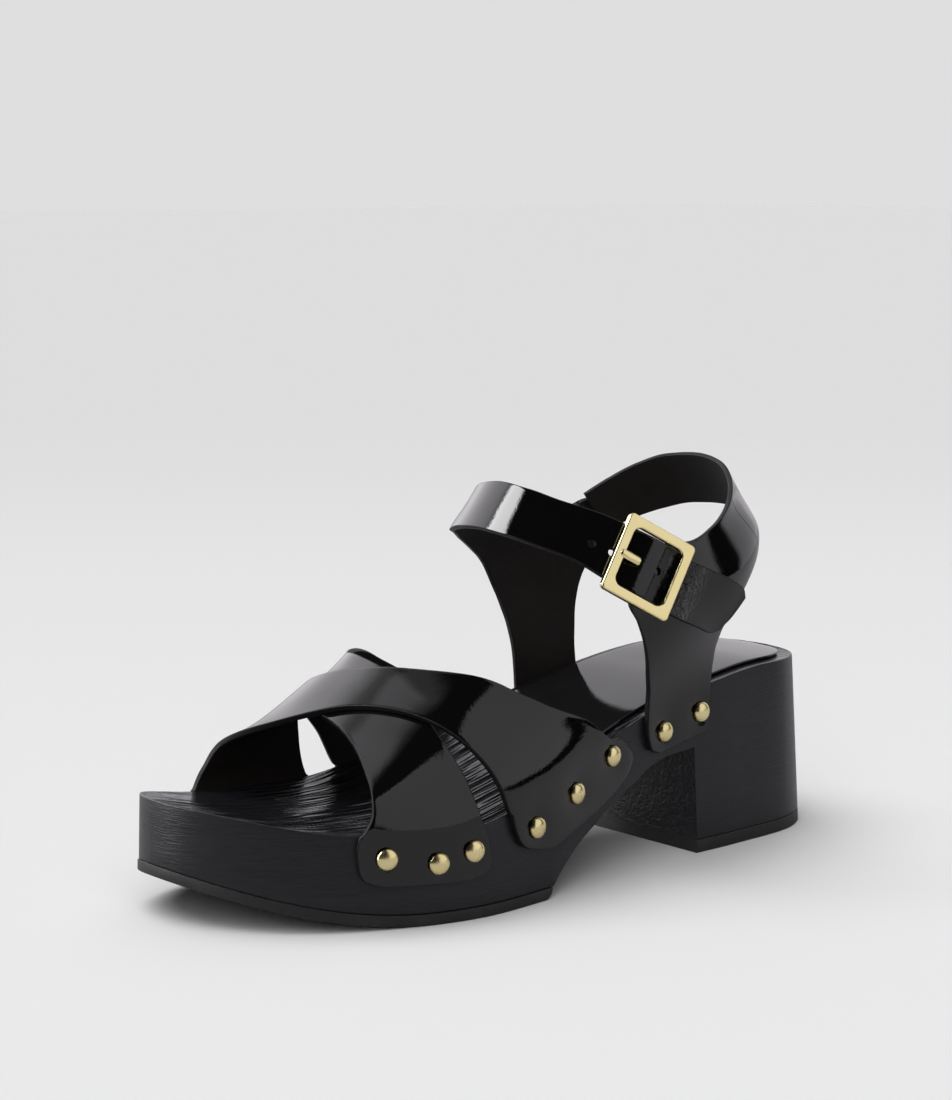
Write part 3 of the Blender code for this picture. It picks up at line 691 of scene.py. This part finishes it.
leather = {"layers": ("patent", "edge", "lining"), "crossWall": 2.0, "stayWall": 1.8, "broadWave": 0.04,
           "broadScale": 0.055, "fineWave": 0.015, "fineScale": 0.16}
studs = {
    # x and height of each pair, outer side and inner side alike
    "places": (("toe_1", 204.1, 22.4), ("toe_2", 188.6, 19.5), ("toe_3", 177.0, 21.9),
               ("waist_1", 151.4, 24.9), ("waist_2", 131.7, 32.2), ("waist_3", 112.5, 40.8),
               ("heel_1", 84.7, 44.3), ("heel_2", 66.7, 48.5)),
    "radius": 3.45, "height": 2.1, "rim": 0.4, "sunk": 0.25, "footRound": 0.12, "dimple": 0.8,
    "dimpleReach": 4.7, "dimpleEnds": 3, "rings": 12, "segments": 40, "join": 0.001, "staysEndX": 102.0,
}
crossStraps = {
    # x, crown height over the footbed's edge, y of the ridge of the instep form
    "last": ((100, 59.5, -16.8), (140, 58.1, -16.5), (175, 38.5, -15.8), (210, 19.2, -13.6),
             (245, 17.0, -11.5)),
    "outerPowers": (1.06, 0.94), "innerPowers": (0.88, 0.98),
    "lift": 2.35, "liftStarts": 0.35, "liftRange": 0.4, "round": 0.4,
    # turns between which the outer legs stand straight across their width
    "straight": (3.0, 16.0, 38.0, 62.0),
    # the front edge of the outer legs stands off most at half of this turn
    "frontBulge": 1.4, "bulgeEnds": 50.0, "bulgeFrom": 0.2,
    # turn over the foot (0 outer edge, 180 inner edge), drop below that edge, front x, rear x
    "under": ((0, 15.4, 204.0, 181.0), (0, 14.6, 208.4, 174.0), (0, 13.6, 210.9, 171.6),
              (0, 11.0, 212.2, 170.6), (0, 5.0, 212.7, 171.4), (0, 0, 211.4, 172.9),
              (12, 0, 208.4, 175.5), (24, 0, 206.2, 176.5), (36, 0, 203.0, 177.0), (72, 0, 193.6, 171.8),
              (108, 0, 189.4, 167.6), (144, 0, 176.8, 149.0), (162, 0, 169.0, 131.5),
              (180, 0, 161.8, 110.5), (180, 4.5, 161.0, 104.6), (180, 9.0, 159.4, 101.6),
              (180, 12.4, 157.0, 103.0), (180, 15.6, 151.0, 109.0), (180, 17.3, 146.5, 116.0),
              (180, 18.2, 142.0, 122.0)),
    "over": ((0, 18.2, 142.0, 122.0), (0, 17.3, 146.5, 116.0), (0, 15.6, 151.0, 109.0),
             (0, 12.4, 157.0, 103.0), (0, 9.0, 159.4, 101.6), (0, 4.5, 161.2, 104.4),
             (0, 0, 162.4, 109.0), (12, 0, 166.7, 125.4), (24, 0, 170.1, 141.2), (36, 0, 173.8, 152.4),
             (72, 0, 187.2, 171.0), (108, 0, 204.7, 180.2), (144, 0, 212.2, 178.4),
             (180, 0, 217.2, 172.4), (180, 5.0, 218.0, 171.0), (180, 11.0, 217.6, 170.8),
             (180, 13.6, 216.2, 171.8), (180, 14.6, 213.4, 174.2), (180, 15.4, 209.0, 181.0)),
    "rows": 150,
}
lastCrown = tableCurve(crossStraps["last"], 1)
lastRidge = tableCurve(crossStraps["last"], 2)


def instepPoint(x, turn, drop, off):
    turn = min(max(turn, 0.0), 180.0)
    angle = math.radians(turn)
    outerSide = turn < 90
    line = outerLine if outerSide else innerLine
    powerY, powerZ = crossStraps["outerPowers"] if outerSide else crossStraps["innerPowers"]
    side = 1 if outerSide else -1
    edgeZ = footbed(x)
    if drop > 0:
        return Vector((x, wallY(line, x, edgeZ - drop) + side * off, edgeZ - drop))
    reach = line.at(x)[0].y + side * off - lastRidge(x)
    y = lastRidge(x) + reach * abs(math.cos(angle)) ** powerY
    return Vector((x, y, edgeZ + (lastCrown(x) + off) * abs(math.sin(angle)) ** powerZ))


def strapLengths(middles):
    length = [0.0]
    for here, after in zip(middles, middles[1:]):
        length.append(length[-1] + (after - here).length)
    return length


def crossStrapSurface(table, lift):
    length = strapLengths([instepPoint((row[2] + row[3]) / 2, row[0], row[1], gap) for row in table])
    turnAt, dropAt, frontAt, rearAt = (columnCurve(length, [row[k] for row in table]) for k in range(4))

    def surface(s, across):
        x = rearAt(s) + (frontAt(s) - rearAt(s)) * across
        turn = turnAt(s)
        height = math.sin(math.radians(turn))
        raised = smoothStep((height - crossStraps["liftStarts"]) / crossStraps["liftRange"])
        swing = math.sin(math.pi * min(turn / crossStraps["bulgeEnds"], 1.0)) ** 2
        bulge = crossStraps["frontBulge"] * swing * rampShare(across, crossStraps["bulgeFrom"], 1)
        off = gap + lift * raised
        begins, full, holds, ends = crossStraps["straight"]
        straight = rampShare(turn, begins, full) * (1 - rampShare(turn, holds, ends))
        formed = instepPoint(x, turn, dropAt(s), off)
        rear, front = (instepPoint(edge, turn, dropAt(s), off) for edge in (rearAt(s), frontAt(s)))
        place = formed.lerp(rear.lerp(front, across), straight)
        return place + Vector((0.0, bulge, 0.0))

    return surface, length[-1]


strapGrid = {"faceColumns": 26, "liningColumns": 14, "edgeSteps": 4, "probe": 0.4, "rungSteps": 8}


def strapProfile(width, wall, rounding):
    # the strap's cross-section as (share across, height), outer face first
    soft = rounding / width
    faceCount = strapGrid["faceColumns"]
    liningCount = strapGrid["liningColumns"]
    turns = quarterTurns(strapGrid["edgeSteps"])
    profile = [(soft + (1 - 2 * soft) * k / faceCount, wall) for k in range(faceCount)]
    for sine, cosine in turns:
        profile.append((1 - soft * (1 - sine), wall - rounding * (1 - cosine)))
    for sine, cosine in turns:
        profile.append((1 - soft * (1 - cosine), rounding * (1 - sine)))
    profile += [(1 - soft - (1 - 2 * soft) * k / liningCount, 0.0) for k in range(1, liningCount)]
    for sine, cosine in turns:
        profile.append((soft * (1 - sine), rounding * (1 - cosine)))
    for sine, cosine in turns[:-1]:
        profile.append((soft * (1 - cosine), wall - rounding * (1 - sine)))
    return profile


def strapMesh(surface, length, wall, strap, shape):
    # leather strap with soft cut edges; shape lowers or raises the outer face
    rounding = strap["round"]
    rows = strap["rows"]
    patent, edge, lining = range(3)
    cutEdge = [edge] * (2 * strapGrid["edgeSteps"] + 1)
    kinds = [patent] * strapGrid["faceColumns"] + cutEdge + [lining] * strapGrid["liningColumns"] + cutEdge
    ends = [rounding * (1 - cosine) for sine, cosine in quarterTurns(strapGrid["edgeSteps"])]
    inner = [ends[-1] + (length - 2 * ends[-1]) * k / rows for k in range(1, rows)]
    places = ends + inner + [length - place for place in reversed(ends)]
    step = strapGrid["probe"]
    rings = []
    for s in places:
        fromEnd = min(s, length - s)
        squeeze = 0.0
        if fromEnd < rounding:
            squeeze = rounding - math.sqrt(max(rounding ** 2 - (rounding - fromEnd) ** 2, 0.0))
        rung = [surface(s, share) for share in (0.0, *evenShares(strapGrid["rungSteps"]), 1.0)]
        width = sum((b - a).length for a, b in zip(rung, rung[1:]))
        share = step / width
        ring = []
        for across, height in strapProfile(width, wall, rounding):
            point = surface(s, across)
            near = max(s - step, 0.0)
            far = min(s + step, length)
            along = surface(far, across) - surface(near, across)
            low = max(across - share, 0.0)
            high = min(across + share, 1.0)
            sideways = surface(s, high) - surface(s, low)
            out = along.cross(sideways).normalized()
            lift = min(max(height, squeeze), wall - squeeze)
            ring.append(point + out * (lift + shape(point) * height / wall))
        rings.append(ring)
    return rolledGrid(rings, kinds, edge)


def strapWall(x):
    # the stays are thinner than the cross straps in front of them
    return leather["stayWall"] if x < studs["staysEndX"] else leather["crossWall"]


studSpots = [wallPoint(line, x, z, gap + strapWall(x))
             for name, x, z in studs["places"] for line in (outerLine, innerLine)]


def leatherShape(point):
    # pressed in round the nails, with slight waves
    press = 0.0
    for spot in studSpots:
        away = (point - spot).length
        if away < studs["dimpleEnds"] * studs["dimpleReach"]:
            press += studs["dimple"] * bell(away / studs["dimpleReach"])
    broad = noise.noise(point * leather["broadScale"]) * leather["broadWave"]
    fine = noise.noise(point * leather["fineScale"]) * leather["fineWave"]
    return broad + fine - press


def makeCrossStraps():
    for name, lift in (("under", 0.0), ("over", crossStraps["lift"])):
        surface, length = crossStrapSurface(crossStraps[name], lift)
        bm = strapMesh(surface, length, leather["crossWall"], crossStraps, leatherShape)
        addPiece(name + "CrossStrap", bm, leather["layers"], ["cross_straps"], 60)


makeCrossStraps()
print("crossed straps made")

ankleStraps = {
    "middle": (82.1, 2.5), "saddle": 10.0,
    # turns between both edges up to which a strap is straight across its width, and from which it is not
    "straight": (8.0, 20.0), "straightRise": 30.0,
    # level (height without the saddle), half length, half width of the ankle form
    "form": ((55, 54, 34), (85, 54.9, 42), (103, 54.9, 45), (119, 42.9, 40.5), (126, 40.9, 39)),
    "wallEndsZ": 52.0, "ankleStartsZ": 88.0, "layer": 2.6, "round": 0.4, "rows": 420,
    # punched holes: angle round the ankle, height
    "holes": ((45.9, 110.2), (53.4, 107.3), (62.4, 104.1), (70.1, 100.6)), "holeRadius": 1.35,
    "holeSteps": 28, "punchWalls": 4,
    # the overlap's line on the back strap: angle and height of both ends
    "joinLine": ((128.4, 119.0), (134.2, 100.0)), "joinWidth": 0.35, "joinDepth": 0.45,
    "joinSteps": 10,
    "wrinkle": 0.25, "wrinkleAt": 15.0, "wrinkleReach": 3.6, "foldNoise": (0.5, 0.2, 1.3),
    "creaseScale": 0.75,
    # the strap swells in the buckle's window, and is crumpled behind it
    "swell": 1.5, "swellAt": 1.0, "swellReach": (6.5, 4.6), "crumpleAt": 16.0, "crumpleReach": 5.0,
    "nearBuckle": 8.0,
    # lower or front edge: angle round the ankle (0 front, 90 outer side) and height; upper or rear edge: the
    # same; layer
    "front": ((-84.5, 37.6, -105.5, 40.6, 0), (-81.3, 39.2, -109.0, 43.0, 0),
              (-80.3, 46.0, -109.8, 50.0, 0), (-79.8, 58.0, -109.0, 61.0, 0),
              (-80.0, 67.0, -111.0, 71.5, 0), (-80.0, 73.0, -114.5, 80.5, 0),
              (-79.5, 77.5, -118.8, 88.0, 0), (-79.0, 81.0, -125.5, 96.5, 0),
              (-78.2, 83.8, -130.5, 102.5, 0), (-77.2, 86.2, -133.0, 108.5, 0),
              (-75.8, 89.0, -130.5, 113.6, 0), (-73.6, 92.4, -122.5, 113.0, 0),
              (-70.5, 95.4, -114.5, 110.5, 0), (-66.0, 98.0, -102.0, 108.9, 0),
              (-59.5, 101.0, -88.0, 109.2, 0), (-51.0, 104.2, -70.0, 112.0, 0),
              (-41.5, 107.2, -58.0, 115.4, 0), (-30.0, 109.2, -45.0, 118.4, 0),
              (-15.0, 111.8, -22.0, 124.6, 0), (0.0, 112.8, 0.0, 127.0, 0.1),
              (14.0, 111.6, 15.0, 125.7, 0.3), (28.0, 108.7, 30.0, 122.6, 0.42),
              (41.0, 104.8, 44.5, 119.3, 0.48), (52.0, 99.0, 57.0, 115.4, 0.88),
              (64.5, 92.0, 71.5, 109.2, 1), (77.0, 85.6, 86.0, 102.5, 1), (89.0, 80.8, 97.0, 98.2, 1),
              (96.5, 78.4, 105.5, 94.2, 1.1), (100.5, 78.9, 109.4, 91.4, 1.2),
              (104.0, 81.2, 110.4, 88.6, 1.28)),
    "back": ((106.5, 41.3, 84.5, 37.4, 0), (110.5, 43.5, 80.0, 39.2, 0), (111.4, 49.0, 78.0, 46.0, 0),
             (111.4, 57.0, 78.4, 57.0, 0), (109.8, 66.0, 75.6, 66.5, 0), (107.3, 73.0, 70.5, 76.5, 0),
             (106.5, 79.0, 65.5, 84.5, 0), (108.5, 84.0, 61.0, 92.0, 0), (112.5, 88.0, 61.5, 103.5, 0),
             (117.0, 91.5, 69.0, 108.2, 0), (123.0, 95.3, 88.0, 108.6, 0),
             (132.0, 100.0, 105.0, 112.2, 0), (142.0, 104.6, 121.5, 117.2, 0),
             (153.0, 108.6, 140.0, 123.3, 0), (166.0, 111.5, 160.0, 128.6, 0),
             (180.0, 112.5, 180.0, 130.4, -0.1), (194.0, 112.0, 197.0, 129.4, -0.4),
             (207.0, 109.6, 212.0, 125.9, -0.8), (219.0, 106.3, 226.0, 120.8, -1),
             (232.0, 101.5, 239.0, 115.2, -1)),
}
ankleLength = tableCurve(ankleStraps["form"], 1)
ankleWidth = tableCurve(ankleStraps["form"], 2)


def anklePoint(around, z, off):
    # low down the platform's side, higher up an oval with a saddle
    angle = math.radians(around)
    level = z - ankleStraps["saddle"] * math.cos(2 * angle)
    x = ankleStraps["middle"][0] + (ankleLength(level) + off) * math.cos(angle)
    y = ankleStraps["middle"][1] + (ankleWidth(level) + off) * math.sin(angle)
    side = 1 if math.sin(angle) > 0 else -1
    flat = wallY(outerLine if side > 0 else innerLine, x, z) + side * (gap + off)
    share = rampShare(z, ankleStraps["wallEndsZ"], ankleStraps["ankleStartsZ"])
    return Vector((x, flat + (y - flat) * share, z))


def ankleStrapLengths(table):
    return strapLengths([anklePoint((row[0] + row[2]) / 2, (row[1] + row[3]) / 2, 0) for row in table])


def ankleStrapSurface(table, level=None):
    # level holds the whole strap in one layer
    length = ankleStrapLengths(table)
    columns = [columnCurve(length, [row[k] for row in table]) for k in range(5)]

    def surface(s, across):
        lowAround, lowZ, highAround, highZ, layer = (curve(s) for curve in columns)
        off = (layer if level is None else level) * ankleStraps["layer"]
        around = lowAround + (highAround - lowAround) * across
        formed = anklePoint(around, lowZ + (highZ - lowZ) * across, off)
        straight = 1 - rampShare(abs(highAround - lowAround), *ankleStraps["straight"])
        straight *= smoothStep((lowZ - ankleStraps["wallEndsZ"]) / ankleStraps["straightRise"])
        ruled = anklePoint(lowAround, lowZ, off).lerp(anklePoint(highAround, highZ, off), across)
        return formed.lerp(ruled, straight)

    return surface, length[-1]


buckle = {"row": 24, "pastRow": -2.4, "outer": (25.5, 27.0), "inner": (18.6, 20.3), "outerCorner": 1.6,
          "innerCorner": 2.6, "depth": 2.4, "edge": 0.5, "standsOff": 0.1, "pinRadius": 1.5,
          "pinFlat": 0.55, "pinTip": 0.8, "pinReach": 7.8, "pinLift": 0.75, "pinTaper": 0.95, "pinSteps": 28,
          "pinTipSteps": 5, "cornerSteps": 8, "edgeSteps": 4, "sharpTurn": 1.0}


def buckleMatrix():
    surface, length = ankleStrapSurface(ankleStraps["front"], 1)
    s = ankleStrapLengths(ankleStraps["front"])[buckle["row"]] + buckle["pastRow"]
    reach = buckle["inner"][0] / 2
    along = (surface(s + reach, 0.5) - surface(s - reach, 0.5)).normalized()
    out = along.cross(surface(s, 1.0) - surface(s, 0.0)).normalized()
    turned = Matrix((along, out.cross(along), out)).transposed().to_4x4()
    off = leather["stayWall"] + buckle["standsOff"] + buckle["depth"] / 2
    return Matrix.Translation(surface(s, 0.5) + out * off) @ turned


intoBuckle = buckleMatrix().inverted()


def ankleShape(point):
    # the leather's shape, wrinkled where the strap leaves the buckle
    here = intoBuckle @ point
    wrinkle = 0.0
    if abs(here.z) < ankleStraps["nearBuckle"]:
        near = bell((here.x - ankleStraps["wrinkleAt"]) / ankleStraps["wrinkleReach"])
        folds = uneven(here.x, here.y, ankleStraps["foldNoise"])
        folds += noise.noise(here * ankleStraps["creaseScale"])
        wrinkle = ankleStraps["wrinkle"] * near * folds
        past = here.x - ankleStraps["swellAt"]
        wrinkle += ankleStraps["swell"] * bell(past / ankleStraps["swellReach"][past > 0])
    return leatherShape(point) + wrinkle


def standing(place, out):
    # stands a shape on a place, with its Z along out
    return Matrix.Translation(place) @ out.to_track_quat("Z", "Y").to_matrix().to_4x4()


def raiseFaces(bm, faces):
    # makes a body of flat faces, and gives the points of its upper side
    raised = bmesh.ops.extrude_face_region(bm, geom=faces)["geom"]
    return [part for part in raised if isinstance(part, bmesh.types.BMVert)]


def ankleFrame(around, z, off):
    # a place on the ankle form, and the direction straight out of it
    place = anklePoint(around, z, off)
    sideways = anklePoint(around + 1, z, off) - anklePoint(around - 1, z, off)
    out = sideways.cross(anklePoint(around, z + 1, off) - anklePoint(around, z - 1, off)).normalized()
    return place, out


def makePunches():
    # cutters for the row of holes
    cutter = bmesh.new()
    radius = ankleStraps["holeRadius"]
    depth = ankleStraps["punchWalls"] * leather["stayWall"]
    for around, z in ankleStraps["holes"]:
        stand = standing(*ankleFrame(around, z, ankleStraps["layer"]))
        bmesh.ops.create_cone(cutter, cap_ends=True, segments=ankleStraps["holeSteps"], radius1=radius,
                              radius2=radius, depth=depth, matrix=stand)
    return cutter


def makeJoinCutter():
    # a thin blade that follows the overlap's line over the strap
    (startAround, startZ), (endAround, endZ) = ankleStraps["joinLine"]
    cutter = bmesh.new()
    bmesh.ops.create_grid(cutter, x_segments=ankleStraps["joinSteps"], y_segments=1, size=0.5)
    raised = raiseFaces(cutter, list(cutter.faces))
    for vert in list(cutter.verts):
        share = vert.co.x + 0.5
        around = startAround + (endAround - startAround) * share
        place, out = ankleFrame(around, startZ + (endZ - startZ) * share, leather["stayWall"])
        sideways = Vector((-math.sin(math.radians(around)), math.cos(math.radians(around)), 0.0))
        level = ankleStraps["joinDepth"] * (2 if vert in raised else -1)
        vert.co = place + sideways * ankleStraps["joinWidth"] * vert.co.y + out * level
    bmesh.ops.recalc_face_normals(cutter, faces=cutter.faces)
    return cutter


def cutOut(bm, cutter, materials, cutKind):
    # takes the cutter's shape out of the mesh; the cut faces get their own finish
    for face in cutter.faces:
        face.material_index = cutKind
    used = [finishes[material] for material in materials]
    things = [addObject(name, meshFrom(name, shape, used))
              for name, shape in (("whole", bm), ("cutter", cutter))]
    cut = things[0].modifiers.new("cut", "BOOLEAN")
    cut.object = things[1]
    cut.solver = "EXACT"
    done = bmesh.new()
    done.from_object(things[0], bpy.context.evaluated_depsgraph_get())
    for thing in things:
        bpy.data.meshes.remove(thing.data)
    return done


def makeAnkleStraps():
    layers = leather["layers"]
    for name, table, node, cutter in (("ankleStrap", "front", "medial_stay_ankle_strap", makePunches()),
                                      ("backStrap", "back", "lateral_stay_back_strap", makeJoinCutter())):
        surface, length = ankleStrapSurface(ankleStraps[table])
        bm = strapMesh(surface, length, leather["stayWall"], ankleStraps, ankleShape)
        bm = cutOut(bm, cutter, layers, layers.index("edge"))
        crumple = bm.verts.layers.float.new("crumple")
        for vert in bm.verts:
            here = intoBuckle @ vert.co
            if abs(here.z) < ankleStraps["nearBuckle"] and table == "front":
                vert[crumple] = bell((here.x - ankleStraps["crumpleAt"]) / ankleStraps["crumpleReach"])
        addPiece(name, bm, layers, [node], 60)


makeAnkleStraps()
print("ankle straps made")


def roundedLoop(bm, size, corner, z):
    # a circle of points pulled out into a rectangle with round corners
    steps = buckle["cornerSteps"]
    count = 4 * (steps + 1)
    verts = bmesh.ops.create_circle(bm, segments=count, radius=1.0)["verts"]
    for i, vert in enumerate(verts):
        quarter = i // (steps + 1)
        angle = math.pi / 2 * (quarter + i % (steps + 1) / steps)
        signX = 1 if quarter in (0, 3) else -1
        signY = 1 if quarter in (0, 1) else -1
        vert.co = (signX * (size[0] / 2 - corner) + corner * math.cos(angle),
                   signY * (size[1] / 2 - corner) + corner * math.sin(angle), z)
    return [edge for edge in bm.edges if all(vert in verts for vert in edge.verts)]


def roundRims(bm, verts, size, steps):
    # rounds the sharp edges that start at these points
    rims = [edge for edge in bm.edges
            if edge.verts[0] in verts and edge.calc_face_angle(0.0) > buckle["sharpTurn"]]
    bmesh.ops.bevel(bm, geom=rims, offset=size, offset_type="OFFSET", affect="EDGES", segments=steps,
                    profile=0.5, material=-1)


def makeBuckle():
    bm = bmesh.new()
    half = buckle["depth"] / 2
    loops = roundedLoop(bm, buckle["outer"], buckle["outerCorner"], -half)
    loops += roundedLoop(bm, buckle["inner"], buckle["innerCorner"], -half)
    plate = bmesh.ops.bridge_loops(bm, edges=loops)["faces"]
    bmesh.ops.translate(bm, vec=(0, 0, buckle["depth"]), verts=raiseFaces(bm, plate))
    bmesh.ops.recalc_face_normals(bm, faces=bm.faces)
    roundRims(bm, list(bm.verts), buckle["edge"], buckle["edgeSteps"])
    barMiddle = -(buckle["outer"][0] + buckle["inner"][0]) / 4
    lie = Matrix.Translation((barMiddle + buckle["pinReach"] / 2, 0, buckle["pinLift"]))
    flat = Matrix.Diagonal((1.0, 1.0, buckle["pinFlat"], 1.0)) @ Matrix.Rotation(math.pi / 2, 4, "Y")
    pin = bmesh.ops.create_cone(bm, cap_ends=True, segments=buckle["pinSteps"], radius1=buckle["pinRadius"],
                                radius2=buckle["pinRadius"] * buckle["pinTaper"], depth=buckle["pinReach"],
                                matrix=lie @ flat)["verts"]
    roundRims(bm, pin, buckle["pinTip"], buckle["pinTipSteps"])
    bmesh.ops.transform(bm, matrix=buckleMatrix(), verts=bm.verts)
    addPiece("squareBuckle", bm, ["gold"], ["buckle"])


def makeStud(name, line, x, z):
    # domed nail head: a profile from crown to rim, turned all round
    bm = bmesh.new()
    dome = studs["height"] - studs["rim"]
    foot = studs["footRound"]
    rim = studs["radius"]
    points = [(rim * sine, studs["rim"] + dome * cosine) for sine, cosine in quarterTurns(studs["rings"])]
    points += [(rim, foot), (rim - foot, 0.0), (0.0, 0.0)]
    profile = [bm.verts.new((radius, 0.0, height)) for radius, height in points]
    edges = [bm.edges.new(pair) for pair in zip(profile, profile[1:])]
    bmesh.ops.spin(bm, geom=profile + edges, cent=(0, 0, 0), axis=(0, 0, 1), angle=2 * math.pi,
                   steps=studs["segments"], use_merge=True)
    bmesh.ops.remove_doubles(bm, verts=bm.verts, dist=studs["join"])
    bmesh.ops.recalc_face_normals(bm, faces=bm.faces)
    place = wallPoint(line, x, z, gap + strapWall(x) - studs["sunk"])
    bmesh.ops.transform(bm, matrix=standing(place, line.at(x)[1].to_3d()), verts=bm.verts)
    addPiece("nail_" + name, bm, ["nailGold"], ["stud_" + name])


makeBuckle()
for sideName, sideLine in (("outer", outerLine), ("inner", innerLine)):
    for studName, studX, studZ in studs["places"]:
        makeStud(sideName + "_" + studName, sideLine, studX, studZ)
print("buckle and nails made")

studio = {
    # the paper's far colour and mirrored colour are painted shade: it is darker away from the camera, and
    # darker again where reflections see it
    "floorSize": 12.0, "floorColour": (0.8, 0.8, 0.8), "paintedFarShade": (0.705, 0.705, 0.705),
    "paintedMirroredShade": (0.55, 0.53, 0.555), "floorFades": (-1.6, 0.1), "backdrop": 0.735, "dim": 0.015,
    # the dim walls have a tint, which is gone where a panel is this bright
    "panelTint": (1.0, 0.97, 1.01), "tintFades": (2.5, 6.0),
    # soft keys that light paper, wood and lining: strength, spread, degrees round the shoe and above it
    "keys": (("topKey", 0.46, 60.0, 0.0, 90.0), ("frontKey", 1.55, 60.0, 49.0, 40.0),
             ("leftKey", 1.56, 50.0, -45.0, 65.0), ("backKey", 0.47, 60.0, -131.0, 50.0)),
    # softboxes and white walls round the shoe: level, then each straight edge as two directions on it
    # (degrees round the shoe and above the floor) with the light on its left, and its softness in degrees
    "panels": (
        ("leftSoftbox", 13.0, ((-21, 0, -21, 90, 1.5), (-60, 57, -150, 0, 2.0), (-66, 90, -66, 0, 2.0),
                               (-64, 53, -32, 2, 1.5))),
        ("leftWall", 2.3, ((-26, 0, -26, 90, 4.0), (-90, 50, -180, 0, 8.0), (-112, 90, -112, 0, 10.0))),
        ("backLeftWall", 0.85, ((-112, 0, -112, 90, 10.0), (-130, 50, -220, 0, 8.0),
                                (-165, 90, -165, 0, 5.0))),
        ("leftCeiling", 0.42, ((-70, 78, -160, 0, 4.0), (-160, 0, -70, 58, 2.0), (-50, 0, -50, 90, 4.0))),
        ("highLeftWall", 0.6, ((-76, 0, -76, 90, 3.0), (-90, 74, -180, 0, 4.0), (-180, 0, -90, 55, 4.0),
                               (-112, 90, -112, 0, 8.0))),
        ("rightWall", 0.85, ((86, 90, 86, 0, 1.0), (148, 0, 148, 90, 1.5), (117, 79, 27, 0, 1.0),
                             (122, 0, 148, 7, 0.6))),
        ("backWall", 0.8, ((166, 90, 166, 0, 3.0), (205, 60, 115, 0, 5.0), (195, 0, 195, 90, 5.0))),
    ),
}


def lookingTo(around, above):
    side = math.radians(around)
    rise = math.radians(above)
    return Vector((math.cos(side) * math.cos(rise), math.sin(side) * math.cos(rise), math.sin(rise)))


def makeFloor():
    bm = bmesh.new()
    bmesh.ops.create_grid(bm, x_segments=1, y_segments=1, size=studio["floorSize"])
    finish = Finish("palePaper", studio["floorColour"], 0.9, {"Specular IOR Level": 0.0})
    towardsView = lookingTo(90.0 - photoView["yaw"], 0.0)
    # painted shade: the paper darkens away from the camera, and reflections see it darker still
    depth = finish.reachAlong(finish.place, towardsView)
    mirrored = finish.node("ShaderNodeLightPath", {}, {}, "Is Glossy Ray")
    shade = finish.between(depth, *studio["floorFades"]) * (1 - mirrored)
    dimmed = finish.blendColours(mirrored, studio["paintedFarShade"], studio["paintedMirroredShade"])
    finish.colour(finish.mixColours(shade, dimmed, (*studio["floorColour"], 1.0)))
    addObject("paleFloor", meshFrom("paleFloor", bm, [finish.material]))


def makeStudio():
    world = bpy.data.worlds.new("paleStudio")
    world.use_nodes = True
    bpy.context.scene.world = world
    bench = NodeBench(world.node_tree)
    way = bench.node("ShaderNodeTexCoord", {}, {}, "Generated")
    level = studio["dim"]
    for name, light, edges in studio["panels"]:
        panel = light
        for aroundFrom, aboveFrom, aroundTo, aboveTo, soft in edges:
            lit = lookingTo(aroundFrom, aboveFrom).cross(lookingTo(aroundTo, aboveTo)).normalized()
            reach = math.sin(math.radians(soft))
            panel = panel * bench.between(bench.reachAlong(way, lit), -reach, reach)
        level = level + panel
    seen = bench.node("ShaderNodeLightPath", {}, {}, "Is Camera Ray")
    white = seen + (1 - seen) * bench.between(level, *studio["tintFades"])
    shown = level * (1 - seen) + seen * studio["backdrop"]
    room = world.node_tree.nodes["Background"]
    bench.fill(room.inputs["Strength"], shown)
    bench.fill(room.inputs["Color"], bench.blendColours(white, studio["panelTint"], (1.0, 1.0, 1.0)))
    world.cycles_visibility.diffuse = False  # the panels are for gloss, the keys for everything else
    for name, strength, spread, side, rise in studio["keys"]:
        data = bpy.data.lights.new(name, "SUN")
        data.energy = strength
        data.angle = math.radians(spread)
        key = addObject(name, data)
        key.rotation_euler = lookingTo(side, rise).to_track_quat("Z", "Y").to_euler()
        key.visible_glossy = False
    bpy.context.scene.view_settings.view_transform = "Standard"


makeFloor()
makeStudio()
print("studio made")
